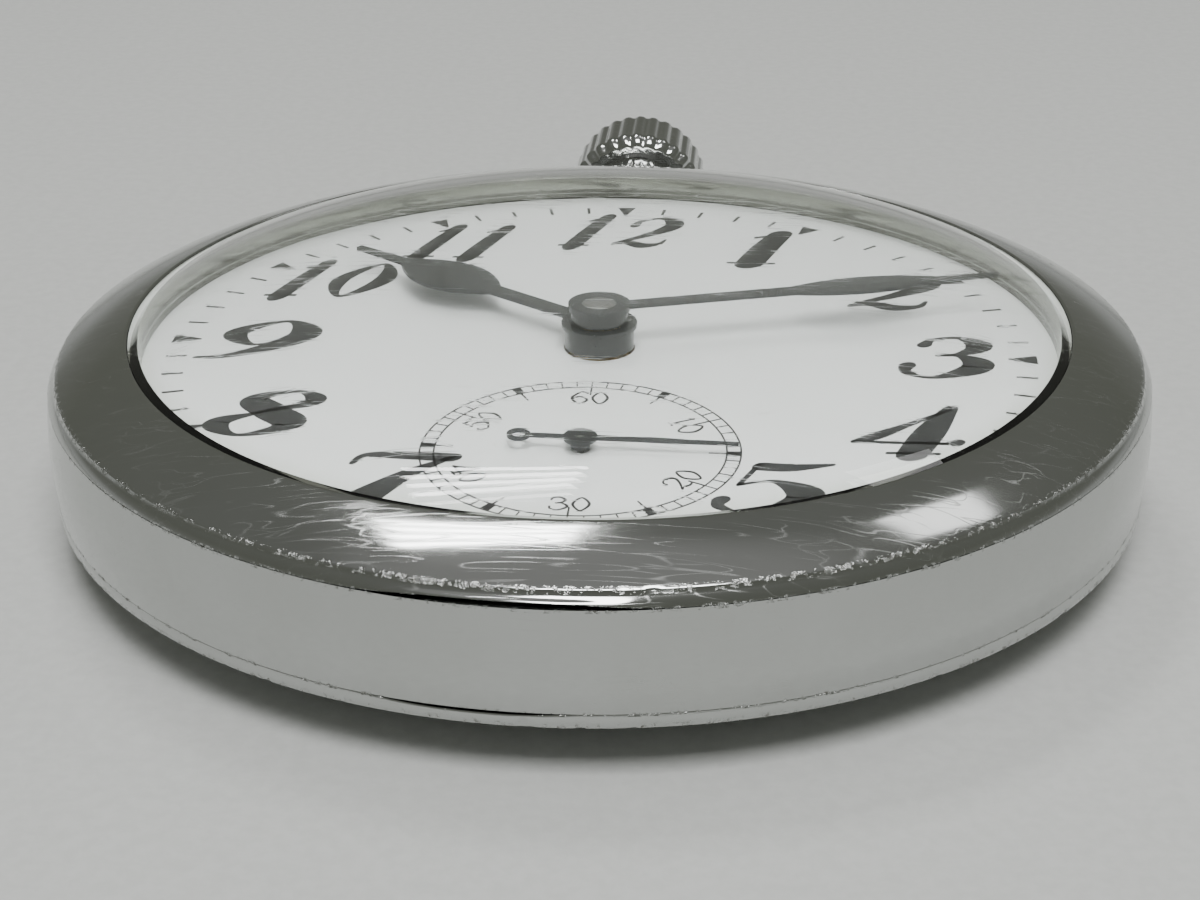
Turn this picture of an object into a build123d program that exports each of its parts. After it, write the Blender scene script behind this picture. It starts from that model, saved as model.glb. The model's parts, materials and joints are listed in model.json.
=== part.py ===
from build123d import *
import os
from math import atan2, cos, degrees, radians, sin, sqrt

# An open-face, stem-wound, stem-set pocket watch in a screwless snap case, in millimetres.
# The origin is the centre of the flat on the case back. +Z leaves the dial, +Y leaves by the crown.
# Wheels stand in mesh as drawn. Every gear is placed by the wheel that drives it.

FIT = 0.02  # radial play of a pivot in its jewel
PLAY = 0.05  # radial play of a free-turning part on its post
GAP = 0.10  # air between parts that pass each other

# ---------------------------------------------------------------- case sizes
case_radius = 25.0
band_bulge = 0.12  # how far the middle's band stands out between its seams
back_rim_z = 2.4
back_seam_z = 3.0
front_seam_z = 7.35
bezel_edge_radius = case_radius - 0.4
bezel_edge_z = front_seam_z + 0.65
bezel_lip_radius = 21.36
bezel_groove_height = 0.95  # the room for the crystal's flange
bezel_lip_z = front_seam_z + 1.88
rest_flat_radius = 13.0
back_wall = 0.55
snap_outer = case_radius - 0.8  # the snap lips' outer radius, inside the middle
snap_wall = 0.65
snap_depth = 0.75
plate_seat_z = 4.9
seat_wall = 0.5  # the ledge inside the middle that carries the movement
seat_ledge = 0.8  # how far the plate's rim rests on it

# ---------------------------------------------------------------- crystal
crystal_wall = 0.6
crystal_flange = 0.65
crystal_edge_z = bezel_lip_z - 0.06  # where the dome meets the upright wall
crystal_top_z = front_seam_z + 3.6
crystal_fullness = 6  # the power of the dome's curve: higher is flatter in the middle
crystal_knots = 9

# ---------------------------------------------------------------- pendant, crown, bow
stem_z = 4.8
pendant_radius = 2.9
pendant_foot_radius = 1.72  # where it is brazed to the middle, inside the band
stem_hole = 0.95  # through the middle
pendant_end = case_radius + 3.3
sleeve_radius = 2.1
sleeve_bore = 1.15
sleeve_start = case_radius + 1.0
sleeve_end = pendant_end + 2.1
crown_radius = 3.9
crown_start = pendant_end + 0.45
crown_length = 5.0
crown_flutes = 30
crown_bevel = 0.75
crown_pull = 0.85
bow_shoulder = pendant_radius - 0.15  # the flat that each bow eye turns on
bow_pivot_y = case_radius + 1.95
bow_wire = 2.4
bow_reach = 14.0
bow_half_width = 8.8  # centre line, at the widest
bow_eye_radius = 1.5
bow_eye_length = 1.5
bow_tilt = 16.0  # the bow lies this far below level, on the surface the watch rests on
bow_screw_shank = 0.6
bow_screw_head = 1.15
bow_screw_head_length = 0.55

# ---------------------------------------------------------------- dial and hands
dial_top_z = 7.0
dial_thickness = 0.6
dial_radius = 21.8
sub_dial_y = -10.65
hour_hand_angle = 306.5  # clockwise from 12
minute_hand_angle = 73.5
second_hand_angle = 92.0
hour_hand_z = dial_top_z + 1.05
minute_hand_z = dial_top_z + 1.85
second_hand_z = dial_top_z + 0.45
hand_thickness = 0.18
hour_boss_radius = 1.75
minute_boss_radius = 1.43
minute_boss_top_z = minute_hand_z + 0.3
second_boss_radius = 0.72
centre_arbor_radius = 0.55
cannon_radius = 0.95
minute_socket = cannon_radius - 0.15
seconds_pivot = 0.16
dial_feet_angles = (62, 182, 302)

# ---------------------------------------------------------------- plates
plate_radius = 21.5
seat_radius = plate_radius - seat_ledge
plate_top_z = dial_top_z - dial_thickness
bridge_radius = 20.2
bridge_in_z = 2.95
bridge_out_z = 1.95
bridge_split_y = -2.3  # the seam between the barrel bridge and the train bridge
bridge_split = 0.2
pillar_radius = 1.25
screw_shank = 0.45
screw_head = 0.85
screw_head_height = 0.4
screw_bite = 0.8  # thread length in the main plate
jewel_radius = 0.75
jewel_height = 0.45
pivot_radius = 0.12
post_radius = 0.28  # the posts that the levers turn on
case_screw_radius = 0.45
case_screw_head = 1.0
cock_foot_radius = 2.1
cock_step_radius = 17.3
pallet_bridge_z = 3.1
pallet_bridge_height = 0.26

# ---------------------------------------------------------------- train
barrel_angle = 33.0
barrel_module = 0.22
barrel_teeth = 80
barrel_z = 3.7
barrel_height = 1.6
barrel_wall = 0.35
barrel_tooth_z = 4.3
barrel_tooth_height = 0.4
centre_leaves = 12
centre_module = 0.16
centre_teeth = 80
centre_wheel_z = 3.05
third_leaves = 10
third_module = 0.14
third_teeth = 75
third_wheel_z = 3.38
fourth_leaves = 10
fourth_module = 0.12
fourth_teeth = 80
fourth_wheel_z = 4.2
escape_leaves = 8
escape_teeth = 15
escape_radius = 3.7
escape_wheel_z = 3.46
wheel_thickness = 0.2
pallet_distance = escape_radius / cos(radians(30))
balance_distance = 4.83
balance_radius = 6.6
balance_z = 2.4
balance_rim_width = 0.7
balance_rim_height = 0.6
balance_screw_count = 14
cock_in_z = 1.95
cock_out_z = 1.1
cock_foot_z = 1.55  # the foot is stepped down under the rising back
fork_thickness = 0.25
fork_z = escape_wheel_z
fork_length = 3.55
stone_radius = escape_radius * sqrt(3) / 3  # from the pallet centre to a locking face
banking_offset = 0.52
pallet_rest = 4.0  # the fork lies this far over, against one banking pin
impulse_radius = 1.15
roller_radius = 1.5
rest_swing = 180.0  # the impulse pin lies this far round from the fork at rest
hack_gap = 0.35
hairspring_z = 2.08
hairspring_height = 0.16
hairspring_turns = 8
hairspring_outer = 3.0
collet_radius = 0.68

# ---------------------------------------------------------------- winding and setting
ratchet_teeth = 52
crown_wheel_teeth = 40
winding_module = 0.25
winding_wheel_height = 0.42
winding_wheel_z = 1.48
barrel_arbor_radius = 0.8
arbor_core_radius = 1.7
crown_arbor_radius = 1.1
crown_skirt_radius = 3.0
crown_skirt_teeth = 36
winding_pinion_teeth = 16
winding_pinion_radius = 1.5
winding_pinion_length = 1.3
clutch_radius = 1.3
clutch_length = 2.6
clutch_teeth = 16
clutch_waist = 1.35  # from the clutch's inner end to the middle of its groove
stem_groove = 1.62  # from the winding pinion to the middle of the stem's groove
cannon_leaves = 12
minute_wheel_teeth = 36
motion_module = 0.15
minute_pinion_leaves = 10
hour_wheel_teeth = 40
setting_teeth = 40
motion_z = 5.75  # the floor of the motion work, on the dial side of the main plate


# ================================================================ shape helpers
def cyl(radius, low, high, x=0.0, y=0.0):
    return Pos(x, y, (low + high) / 2) * Cylinder(radius, high - low)


def tube(outer, inner, low, high, x=0.0, y=0.0):
    return cyl(outer, low, high, x, y) - cyl(inner, low - 1, high + 1, x, y)


def box(x0, x1, y0, y1, z0, z1):
    return Pos((x0 + x1) / 2, (y0 + y1) / 2, (z0 + z1) / 2) * Box(x1 - x0, y1 - y0, z1 - z0)


def rod_y(radius, low, high, x=0.0, z=stem_z):
    return Pos(x, (low + high) / 2, z) * Rot(90, 0, 0) * Cylinder(radius, high - low)


def rod_x(radius, low, high, y, z=stem_z):
    return Pos((low + high) / 2, y, z) * Rot(0, 90, 0) * Cylinder(radius, high - low)


def outlined(pieces):
    """A flat face from the lines and arcs of its closed outline."""
    return make_face([edge for piece in pieces for edge in piece.edges()])


def turned(pieces):
    """A solid of revolution from the closed outline of a section in the XZ plane."""
    return revolve(outlined(pieces), Axis.Z)


def turned_points(points):
    """A solid of revolution from a closed outline of (radius, z) corners."""
    outline = Polyline(*[(r, 0, z) for r, z in points], close=True)
    return revolve(make_face(outline), Axis.Z)


def slab(face, low, high):
    """A flat outline made into a plate between two heights."""
    return Pos(0, 0, low) * extrude(face, high - low, dir=(0, 0, 1))


def polar(radius, angle):
    return radius * cos(radians(angle)), radius * sin(radians(angle))


def beside(x, y, distance, angle):
    dx, dy = polar(distance, angle)
    return x + dx, y + dy


def gear_face(teeth, module, phase=0.0, tip=0.8, root=1.2, width=0.44):
    """A spur gear's outline: slim straight-flanked teeth, one of them centred on phase."""
    pitch = module * teeth / 2
    outer = pitch + tip * module
    inner = pitch - root * module
    step = 360 / teeth
    half_mid = width * step / 2
    points = []
    for n in range(teeth):
        centre = phase + n * step
        spread = half_mid * 1.25
        points.append(polar(inner, centre - spread))
        points.append(polar(outer, centre - half_mid * 0.45))
        points.append(polar(outer, centre + half_mid * 0.45))
        points.append(polar(inner, centre + spread))
    return make_face(Polyline(*points, close=True))


def spoked(face, rim, hub, spokes, spoke_width, phase=0.0):
    """Windows cut in a wheel, between its rim, its hub and its spokes."""
    window = Circle(rim) - Circle(hub)
    for n in range(spokes):
        window -= Rot(0, 0, phase + n * 360 / spokes) * (Pos(rim / 2, 0) * Rectangle(rim, spoke_width))
    return face - window


def wheel(teeth, module, bore, low, height, x, y, phase, spokes=5):
    """A train wheel: thin brass rim, spokes, and a hub riveted on its arbor."""
    pitch = teeth * module / 2
    face = gear_face(teeth, module, phase)
    face = spoked(face, pitch - 4.2 * module, bore + 0.45, spokes, 0.38, phase)
    return Pos(x, y, 0) * slab(face - Circle(bore), low, low + height)


def pinion(leaves, module, low, high, x, y, phase):
    return Pos(x, y, 0) * slab(gear_face(leaves, module, phase, tip=0.75, root=1.15, width=0.40), low, high)


def mesh_phase(teeth, angle, mate_teeth, mate_phase):
    """The phase that sets a wheel's tooth space opposite a tooth of its mate, along a line of centres."""
    lead = (angle - mate_phase) * mate_teeth / 360
    return angle + 180 + (lead % 1 + 0.5) * 360 / teeth


# ================================================================ where the wheels stand
barrel_distance = barrel_module * (barrel_teeth + centre_leaves) / 2
barrel_x, barrel_y = polar(barrel_distance, barrel_angle)
third_distance = centre_module * (centre_teeth + third_leaves) / 2
fourth_distance = third_module * (third_teeth + fourth_leaves) / 2
escape_distance = fourth_module * (fourth_teeth + escape_leaves) / 2
fourth_x, fourth_y = 0.0, sub_dial_y
# the third wheel stands where its two centre distances meet, on the right of the centre line
third_y = -(third_distance**2 - fourth_distance**2 + sub_dial_y**2) / (2 * -sub_dial_y)
third_x = sqrt(third_distance**2 - third_y**2)
line_angle = 123.7  # the straight line through the escape wheel, pallets and balance
escape_angle = 192.3  # from the fourth wheel to the escape wheel
escape_x, escape_y = beside(fourth_x, fourth_y, escape_distance, escape_angle)
pallet_x, pallet_y = beside(escape_x, escape_y, pallet_distance, line_angle)
balance_x, balance_y = beside(pallet_x, pallet_y, balance_distance, line_angle)

third_angle = degrees(atan2(third_y, third_x))
third_to_fourth = degrees(atan2(fourth_y - third_y, fourth_x - third_x))

centre_pinion_phase = 0.0
barrel_phase = mesh_phase(barrel_teeth, barrel_angle, centre_leaves, centre_pinion_phase)
third_pinion_phase = mesh_phase(third_leaves, third_angle, centre_teeth, 0.0)
fourth_pinion_phase = mesh_phase(fourth_leaves, third_to_fourth, third_teeth, 0.0)
escape_pinion_phase = mesh_phase(escape_leaves, escape_angle, fourth_teeth, 0.0)

# the ratchet, crown wheel and keyless work line up with the stem
winding_distance = winding_module * (ratchet_teeth + crown_wheel_teeth) / 2
crown_wheel_y = barrel_y + sqrt(winding_distance**2 - barrel_x**2)
crown_to_ratchet = degrees(atan2(barrel_y - crown_wheel_y, barrel_x))
ratchet_phase = mesh_phase(ratchet_teeth, crown_to_ratchet, crown_wheel_teeth, 0.0)
winding_pinion_y = crown_wheel_y + crown_skirt_radius
clutch_start = winding_pinion_y - winding_pinion_length / 2 - clutch_length - 0.05
crown_skirt_tip_z = stem_z - winding_pinion_radius + 0.2

# the motion work and the setting wheel run up the 12 o'clock line
minute_wheel_y = motion_module * (cannon_leaves + minute_wheel_teeth) / 2
setting_y = minute_wheel_y + motion_module * (minute_wheel_teeth + setting_teeth) / 2
hour_module = 2 * minute_wheel_y / (hour_wheel_teeth + minute_pinion_leaves)
minute_wheel_phase = mesh_phase(minute_wheel_teeth, 90, cannon_leaves, 0.0)
minute_pinion_phase = minute_wheel_phase
hour_wheel_phase = mesh_phase(hour_wheel_teeth, -90, minute_pinion_leaves, minute_pinion_phase)
setting_phase = mesh_phase(setting_teeth, 90, minute_wheel_teeth, minute_wheel_phase)
motion_recess = hour_module * hour_wheel_teeth / 2 + 3 * GAP + hour_module

plate_bottom_z = plate_seat_z
barrel_pocket_z = barrel_z + barrel_height + GAP
pocket_radius = barrel_module * (barrel_teeth / 2 + 1) + 2 * GAP
balance_pocket = balance_radius + 0.7


# pillars, screws and lever posts
pillars = (
    (-8.5, 12.5), (-16.8, 5.5), (5.0, 18.2), (18.4, -0.6),
    (14.5, -8.0), (6.5, -16.6), (-6.6, -17.4),
)
barrel_bridge_pillars = pillars[:4]
train_bridge_pillars = pillars[4:]
cock_foot_angle = degrees(atan2(balance_y, balance_x))
cock_foot = polar(bridge_radius - 1.0, cock_foot_angle)
cock_screw = polar(bridge_radius - 1.0, cock_foot_angle)
pallet_bridge_screw = beside(pallet_x, pallet_y, 3.3, line_angle - 70)
click_x, click_y = beside(barrel_x, barrel_y, 8.35, 92.0)
click_screw = (click_x, click_y)
setting_lever_post = (-2.9, winding_pinion_y + stem_groove + crown_pull / 2)
yoke_post = (5.2, clutch_start + clutch_waist - crown_pull / 2)
hack_post = (-12.5, 4.2)
jewelled = (
    (0.0, 0.0), (third_x, third_y), (fourth_x, fourth_y), (escape_x, escape_y),
    (pallet_x, pallet_y), (balance_x, balance_y),
)
case_screw_places = tuple(polar(seat_radius + 0.3, angle) for angle in (-20, 160))
hairspring_end = beside(balance_x, balance_y, hairspring_outer + 0.02, 90.0)
escape_phase = line_angle + 60.0


# ================================================================ case
def case_middle():
    top = (case_radius - 0.04, 0, front_seam_z)
    waist = (case_radius + band_bulge, 0, (front_seam_z + back_seam_z) / 2)
    bottom = (case_radius, 0, back_seam_z)
    bore = snap_outer + 0.03
    pocket = plate_radius + 0.45
    inside = [
        (bore, back_seam_z),
        (bore, back_seam_z + snap_depth + GAP),
        (seat_radius + 1.9, plate_seat_z - seat_wall),
        (seat_radius, plate_seat_z - seat_wall),
        (seat_radius, plate_seat_z),
        (pocket, plate_seat_z),
        (pocket, front_seam_z - snap_depth - GAP),
        (bore, front_seam_z - snap_depth - GAP),
        (bore, front_seam_z),
    ]
    corners = [bottom] + [(r, 0, z) for r, z in inside] + [top]
    ring = turned([Polyline(*corners), ThreePointArc(top, waist, bottom)])
    ring -= rod_y(stem_hole, seat_radius - 2, case_radius + 2)
    for x, y in case_screw_places:
        ring -= cyl(case_screw_radius + PLAY, plate_seat_z - seat_wall - 1, plate_seat_z + 0.1, x, y)
    return ring


def pendant():
    foot_y = case_radius - 0.5
    neck = [
        (0, foot_y), (pendant_foot_radius, foot_y), (pendant_foot_radius, case_radius + 0.35),
        (pendant_radius, case_radius + 1.1), (pendant_radius, pendant_end - 0.3),
        (pendant_radius - 0.3, pendant_end), (0, pendant_end),
    ]
    body = Pos(0, 0, stem_z) * Rot(-90, 0, 0) * turned_points(neck)
    body -= rod_y(sleeve_radius, sleeve_start, pendant_end + 1)
    body -= rod_y(stem_hole, seat_radius, pendant_end)
    for side in (-1, 1):
        flat = box(bow_shoulder, pendant_radius + 1, case_radius, pendant_end + 1, 0, 2 * stem_z)
        body -= flat if side > 0 else mirror(flat, Plane.YZ)
        body -= rod_x(bow_screw_shank, *sorted((side * 5, side * (sleeve_radius + 0.1))), bow_pivot_y)
    return body - case_middle()


def pendant_sleeve():
    sleeve = rod_y(sleeve_radius, sleeve_start, sleeve_end) - rod_y(sleeve_bore, 0, sleeve_end + 1)
    for angle in (0, 90):
        slit = Pos(0, sleeve_end, stem_z) * Rot(0, angle, 0) * Box(0.3, 3.0, 6)
        sleeve -= slit
    return sleeve


def bow():
    """A stirrup of round wire with a drilled eye at each end, made level and then laid on its tilt."""
    eye_in = bow_shoulder + GAP
    eye_mid = eye_in + bow_eye_length / 2
    end = bow_reach - bow_wire / 2
    wide_y = end - 7.2
    leg = FilletPolyline(
        (eye_mid, 0), (bow_half_width, 3.4), (bow_half_width, end), (-bow_half_width, end),
        (-bow_half_width, 3.4), (-eye_mid, 0), radius=[2.6, wide_y - 0.2, wide_y - 0.2, 2.6],
    )
    start = Plane(origin=leg @ 0, z_dir=leg % 0)
    wire = sweep(start * Circle(bow_wire / 2), path=leg)
    wire -= Rot(0, 90, 0) * Cylinder(bow_eye_radius + 0.05, 2 * (eye_in + bow_eye_length + 2))
    for side in (-1, 1):
        wire += Pos(side * eye_mid, 0, 0) * Rot(0, 90, 0) * Cylinder(bow_eye_radius + 0.06, bow_eye_length)
    wire -= Rot(0, 90, 0) * Cylinder(bow_screw_shank + PLAY, 40)
    return Pos(0, bow_pivot_y, stem_z) * Rot(-bow_tilt, 0, 0) * wire


def bow_screws():
    eye_in = bow_shoulder + GAP
    head_in = eye_in + bow_eye_length + PLAY
    shank = rod_x(bow_screw_shank, sleeve_radius + 0.15, head_in + 0.1, bow_pivot_y)
    head = rod_x(bow_screw_head, head_in, head_in + bow_screw_head_length, bow_pivot_y)
    slot = Pos(head_in + bow_screw_head_length, bow_pivot_y, stem_z) * Box(0.5, 3, 0.28)
    screw = shank + head - slot
    return [screw, mirror(screw, Plane.YZ)]


def bezel():
    seam = (case_radius - 0.04, 0, front_seam_z)
    edge = (bezel_edge_radius, 0, bezel_edge_z)
    lip = (bezel_lip_radius, 0, bezel_lip_z)
    bend = ((edge[0] + lip[0]) / 2 + 0.12, 0, (edge[2] + lip[2]) / 2 + 0.22)
    groove = bezel_lip_radius + crystal_flange
    ceiling = front_seam_z + bezel_groove_height
    inside = [
        (bezel_lip_radius, ceiling),
        (groove, ceiling),
        (groove, front_seam_z),
        (snap_outer - snap_wall, front_seam_z),
        (snap_outer - snap_wall, front_seam_z - snap_depth),
        (snap_outer, front_seam_z - snap_depth),
        (snap_outer, front_seam_z),
    ]
    corners = [lip] + [(r, 0, z) for r, z in inside] + [seam, edge]
    ring = turned([Polyline(*corners), ThreePointArc(edge, bend, lip)])
    notch_z = front_seam_z + 0.1
    notch = Pos(0, -case_radius, notch_z) * Box(6.5, 1.5, 0.2)  # the opening notch for a thumb nail
    return ring - notch


def dome(radius, edge_z, top_z):
    """The crystal's curve, whose height falls away by a power of the radius."""
    knots = []
    for n in range(crystal_knots + 1):
        r = radius * cos(radians(90 * n / crystal_knots))
        knots.append((r, 0, top_z - (top_z - edge_z) * (r / radius) ** crystal_fullness))
    knots[-1] = (0, 0, top_z)
    return Spline(*knots)


def crystal():
    """A pressed acrylic glass: a flange in the bezel's groove, an upright wall and a full dome."""
    wall = bezel_lip_radius - FIT
    inner = wall - crystal_wall
    foot = wall + crystal_flange - 2 * FIT
    base = front_seam_z + GAP
    flange_top = front_seam_z + bezel_groove_height - FIT
    inner_edge_z = crystal_edge_z - crystal_wall * 0.6
    inner_top_z = crystal_top_z - crystal_wall
    walls = Polyline(
        (inner, 0, inner_edge_z), (inner, 0, base), (foot, 0, base), (foot, 0, flange_top),
        (wall, 0, flange_top), (wall, 0, crystal_edge_z),
    )
    return turned([
        walls,
        dome(wall, crystal_edge_z, crystal_top_z),
        Line((0, 0, crystal_top_z), (0, 0, inner_top_z)),
        dome(inner, inner_edge_z, inner_top_z),
    ])


def dome_arc(radius, height, drop):
    """The arc of the back's dome, from the flat out to radius, and its ball radius."""
    run = radius - rest_flat_radius
    ball = (run**2 + height**2) / (2 * height)
    half = run / 2
    return (rest_flat_radius + half, 0, drop + ball - sqrt(ball**2 - half**2))


def case_back():
    rim = (case_radius, 0, back_rim_z)
    outer_mid = dome_arc(case_radius, back_rim_z, 0)
    inner_radius = snap_outer - snap_wall
    inner_z = back_rim_z + 0.1
    inner_mid = dome_arc(inner_radius, inner_z - back_wall, back_wall)
    lip_top = back_seam_z + snap_depth
    lip = [
        (inner_radius, 0, lip_top), (snap_outer, 0, lip_top), (snap_outer, 0, back_seam_z),
        (case_radius, 0, back_seam_z), rim,
    ]
    shell = turned([
        Line((0, 0, 0), (0, 0, back_wall)),
        Line((0, 0, back_wall), (rest_flat_radius, 0, back_wall)),
        ThreePointArc((rest_flat_radius, 0, back_wall), inner_mid, (inner_radius, 0, inner_z)),
        Polyline((inner_radius, 0, inner_z), *lip),
        ThreePointArc(rim, outer_mid, (rest_flat_radius, 0, 0)),
        Line((rest_flat_radius, 0, 0), (0, 0, 0)),
    ])
    notch = Pos(0, -case_radius, back_seam_z - 0.1) * Box(5, 1.5, 0.2)
    return shell - notch


def crown():
    end = crown_start + crown_length
    face = Circle(crown_radius)
    for n in range(crown_flutes):
        face -= Rot(0, 0, (n + 0.5) * 360 / crown_flutes) * (Pos(crown_radius + 0.12, 0) * Circle(0.27))
    body = Pos(0, 0, crown_start) * extrude(face, crown_length, dir=(0, 0, 1))
    profile = [
        (0, crown_start),
        (crown_radius - crown_bevel, crown_start),
        (crown_radius, crown_start + crown_bevel),
        (crown_radius, end - crown_bevel),
        (crown_radius - 0.5 * crown_bevel, end - 0.3 * crown_bevel),
        (crown_radius - 2 * crown_bevel, end - 0.1 * crown_bevel),
        (0, end),
    ]
    body &= turned_points(profile)
    body -= cyl(sleeve_radius + 0.15, crown_start - 1, sleeve_end + 0.25)
    body -= cyl(0.55, crown_start, end - 1.2)
    return Pos(0, 0, stem_z) * Rot(-90, 0, 0) * body


def winding_stem():
    end = crown_start + crown_length - 1.25
    stem = rod_y(0.55, pendant_end, end) + rod_y(1.0, sleeve_start + 0.2, pendant_end + 0.1)
    stem += rod_y(0.75, winding_pinion_y - 0.4, sleeve_start + 0.3)
    stem += rod_y(0.6, winding_pinion_y - 0.75, winding_pinion_y - 0.3)
    square = Pos(0, (clutch_start + winding_pinion_y - 0.7) / 2 - 0.2, stem_z)
    stem += square * Box(0.8, winding_pinion_y - clutch_start - 0.3, 0.8)
    groove_y = winding_pinion_y + 1.35
    groove = rod_y(1.2, groove_y, groove_y + 0.55) - rod_y(0.45, groove_y, groove_y + 0.55)
    return stem - groove


# ================================================================ dial and hands
def dial():
    low = dial_top_z - dial_thickness
    disc = cyl(dial_radius, low, dial_top_z)
    disc -= cyl(hour_boss_radius - 0.1, low - 1, dial_top_z + 1)
    disc -= cyl(0.4, low - 1, dial_top_z + 1, fourth_x, fourth_y)
    for angle in dial_feet_angles:
        x, y = polar(plate_radius - 1.6, angle)
        disc += cyl(0.4, low - 0.9, low + 0.1, x, y)
    return disc


def dial_screws():
    """A side screw at each dial foot, in the rim of the main plate."""
    screws = []
    z = plate_top_z - 0.6
    for angle in dial_feet_angles:
        body = Pos(plate_radius - 0.65, 0, z) * Rot(0, 90, 0) * Cylinder(0.3, 1.1)
        slot = Pos(plate_radius - 0.1, 0, z) * Box(0.3, 1, 0.12)
        screws.append(Rot(0, 0, angle) * (body - slot))
    return screws


def spade_hand(boss, stem, blade_start, blade_end, blade_width, tip_width, tip, bore):
    """A spade hand that points along +Y: round boss, slim stem, leaf blade and a blunt tip."""
    mid = blade_start + (blade_end - blade_start) * 0.42
    side = blade_width / 2
    foot = stem / 2
    top = tip_width / 2
    blade = outlined([
        Spline((foot, blade_start), (side, mid), (top, blade_end)),
        Line((top, blade_end), (top * 0.6, tip)),
        Line((top * 0.6, tip), (-top * 0.6, tip)),
        Line((-top * 0.6, tip), (-top, blade_end)),
        Spline((-top, blade_end), (-side, mid), (-foot, blade_start)),
        Line((-foot, blade_start), (foot, blade_start)),
    ])
    shaft = Pos(0, blade_start / 2 + 0.05) * Rectangle(stem, blade_start + 0.1)
    return Circle(boss) + shaft + blade - Circle(bore)


def hour_hand():
    bore = cannon_radius + 0.25
    face = spade_hand(hour_boss_radius, 0.85, 6.6, 12.7, 3.3, 0.6, 16.0, bore)
    blade = slab(face, hour_hand_z, hour_hand_z + hand_thickness)
    socket = tube(hour_boss_radius - 0.15, bore, dial_top_z + GAP, hour_hand_z)
    return Rot(0, 0, -hour_hand_angle) * (blade + socket)


def minute_hand():
    face = spade_hand(minute_boss_radius, 0.7, 9.3, 16.3, 1.75, 0.4, 19.3, minute_socket)
    blade = slab(face, minute_hand_z, minute_hand_z + hand_thickness)
    socket_low = hour_hand_z + hand_thickness + GAP
    socket = tube(minute_boss_radius - 0.1, minute_socket, socket_low, minute_hand_z)
    cap = tube(minute_boss_radius, minute_socket, minute_hand_z, minute_boss_top_z)
    return Rot(0, 0, -minute_hand_angle) * (blade + socket + cap)


def seconds_hand():
    tail = 3.1
    shape = make_face(Polyline((0.15, -0.2), (0.075, 6.6), (-0.075, 6.6), (-0.15, -0.2), close=True))
    shape += Pos(0, -tail / 2 + 0.3) * Rectangle(0.22, tail - 1.0)
    shape += Pos(0, -tail + 0.5) * (Circle(0.5) - Circle(0.3))
    shape += Circle(second_boss_radius)
    blade = slab(shape - Circle(seconds_pivot), second_hand_z, second_hand_z + 0.12)
    collar = tube(0.42, seconds_pivot, second_hand_z - 0.32, second_hand_z)
    return Pos(fourth_x, fourth_y, 0) * Rot(0, 0, -second_hand_angle) * (blade + collar)


# ================================================================ plates and bridges
def disc_face(radius, x=0.0, y=0.0):
    return Pos(x, y) * Circle(radius)


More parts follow.
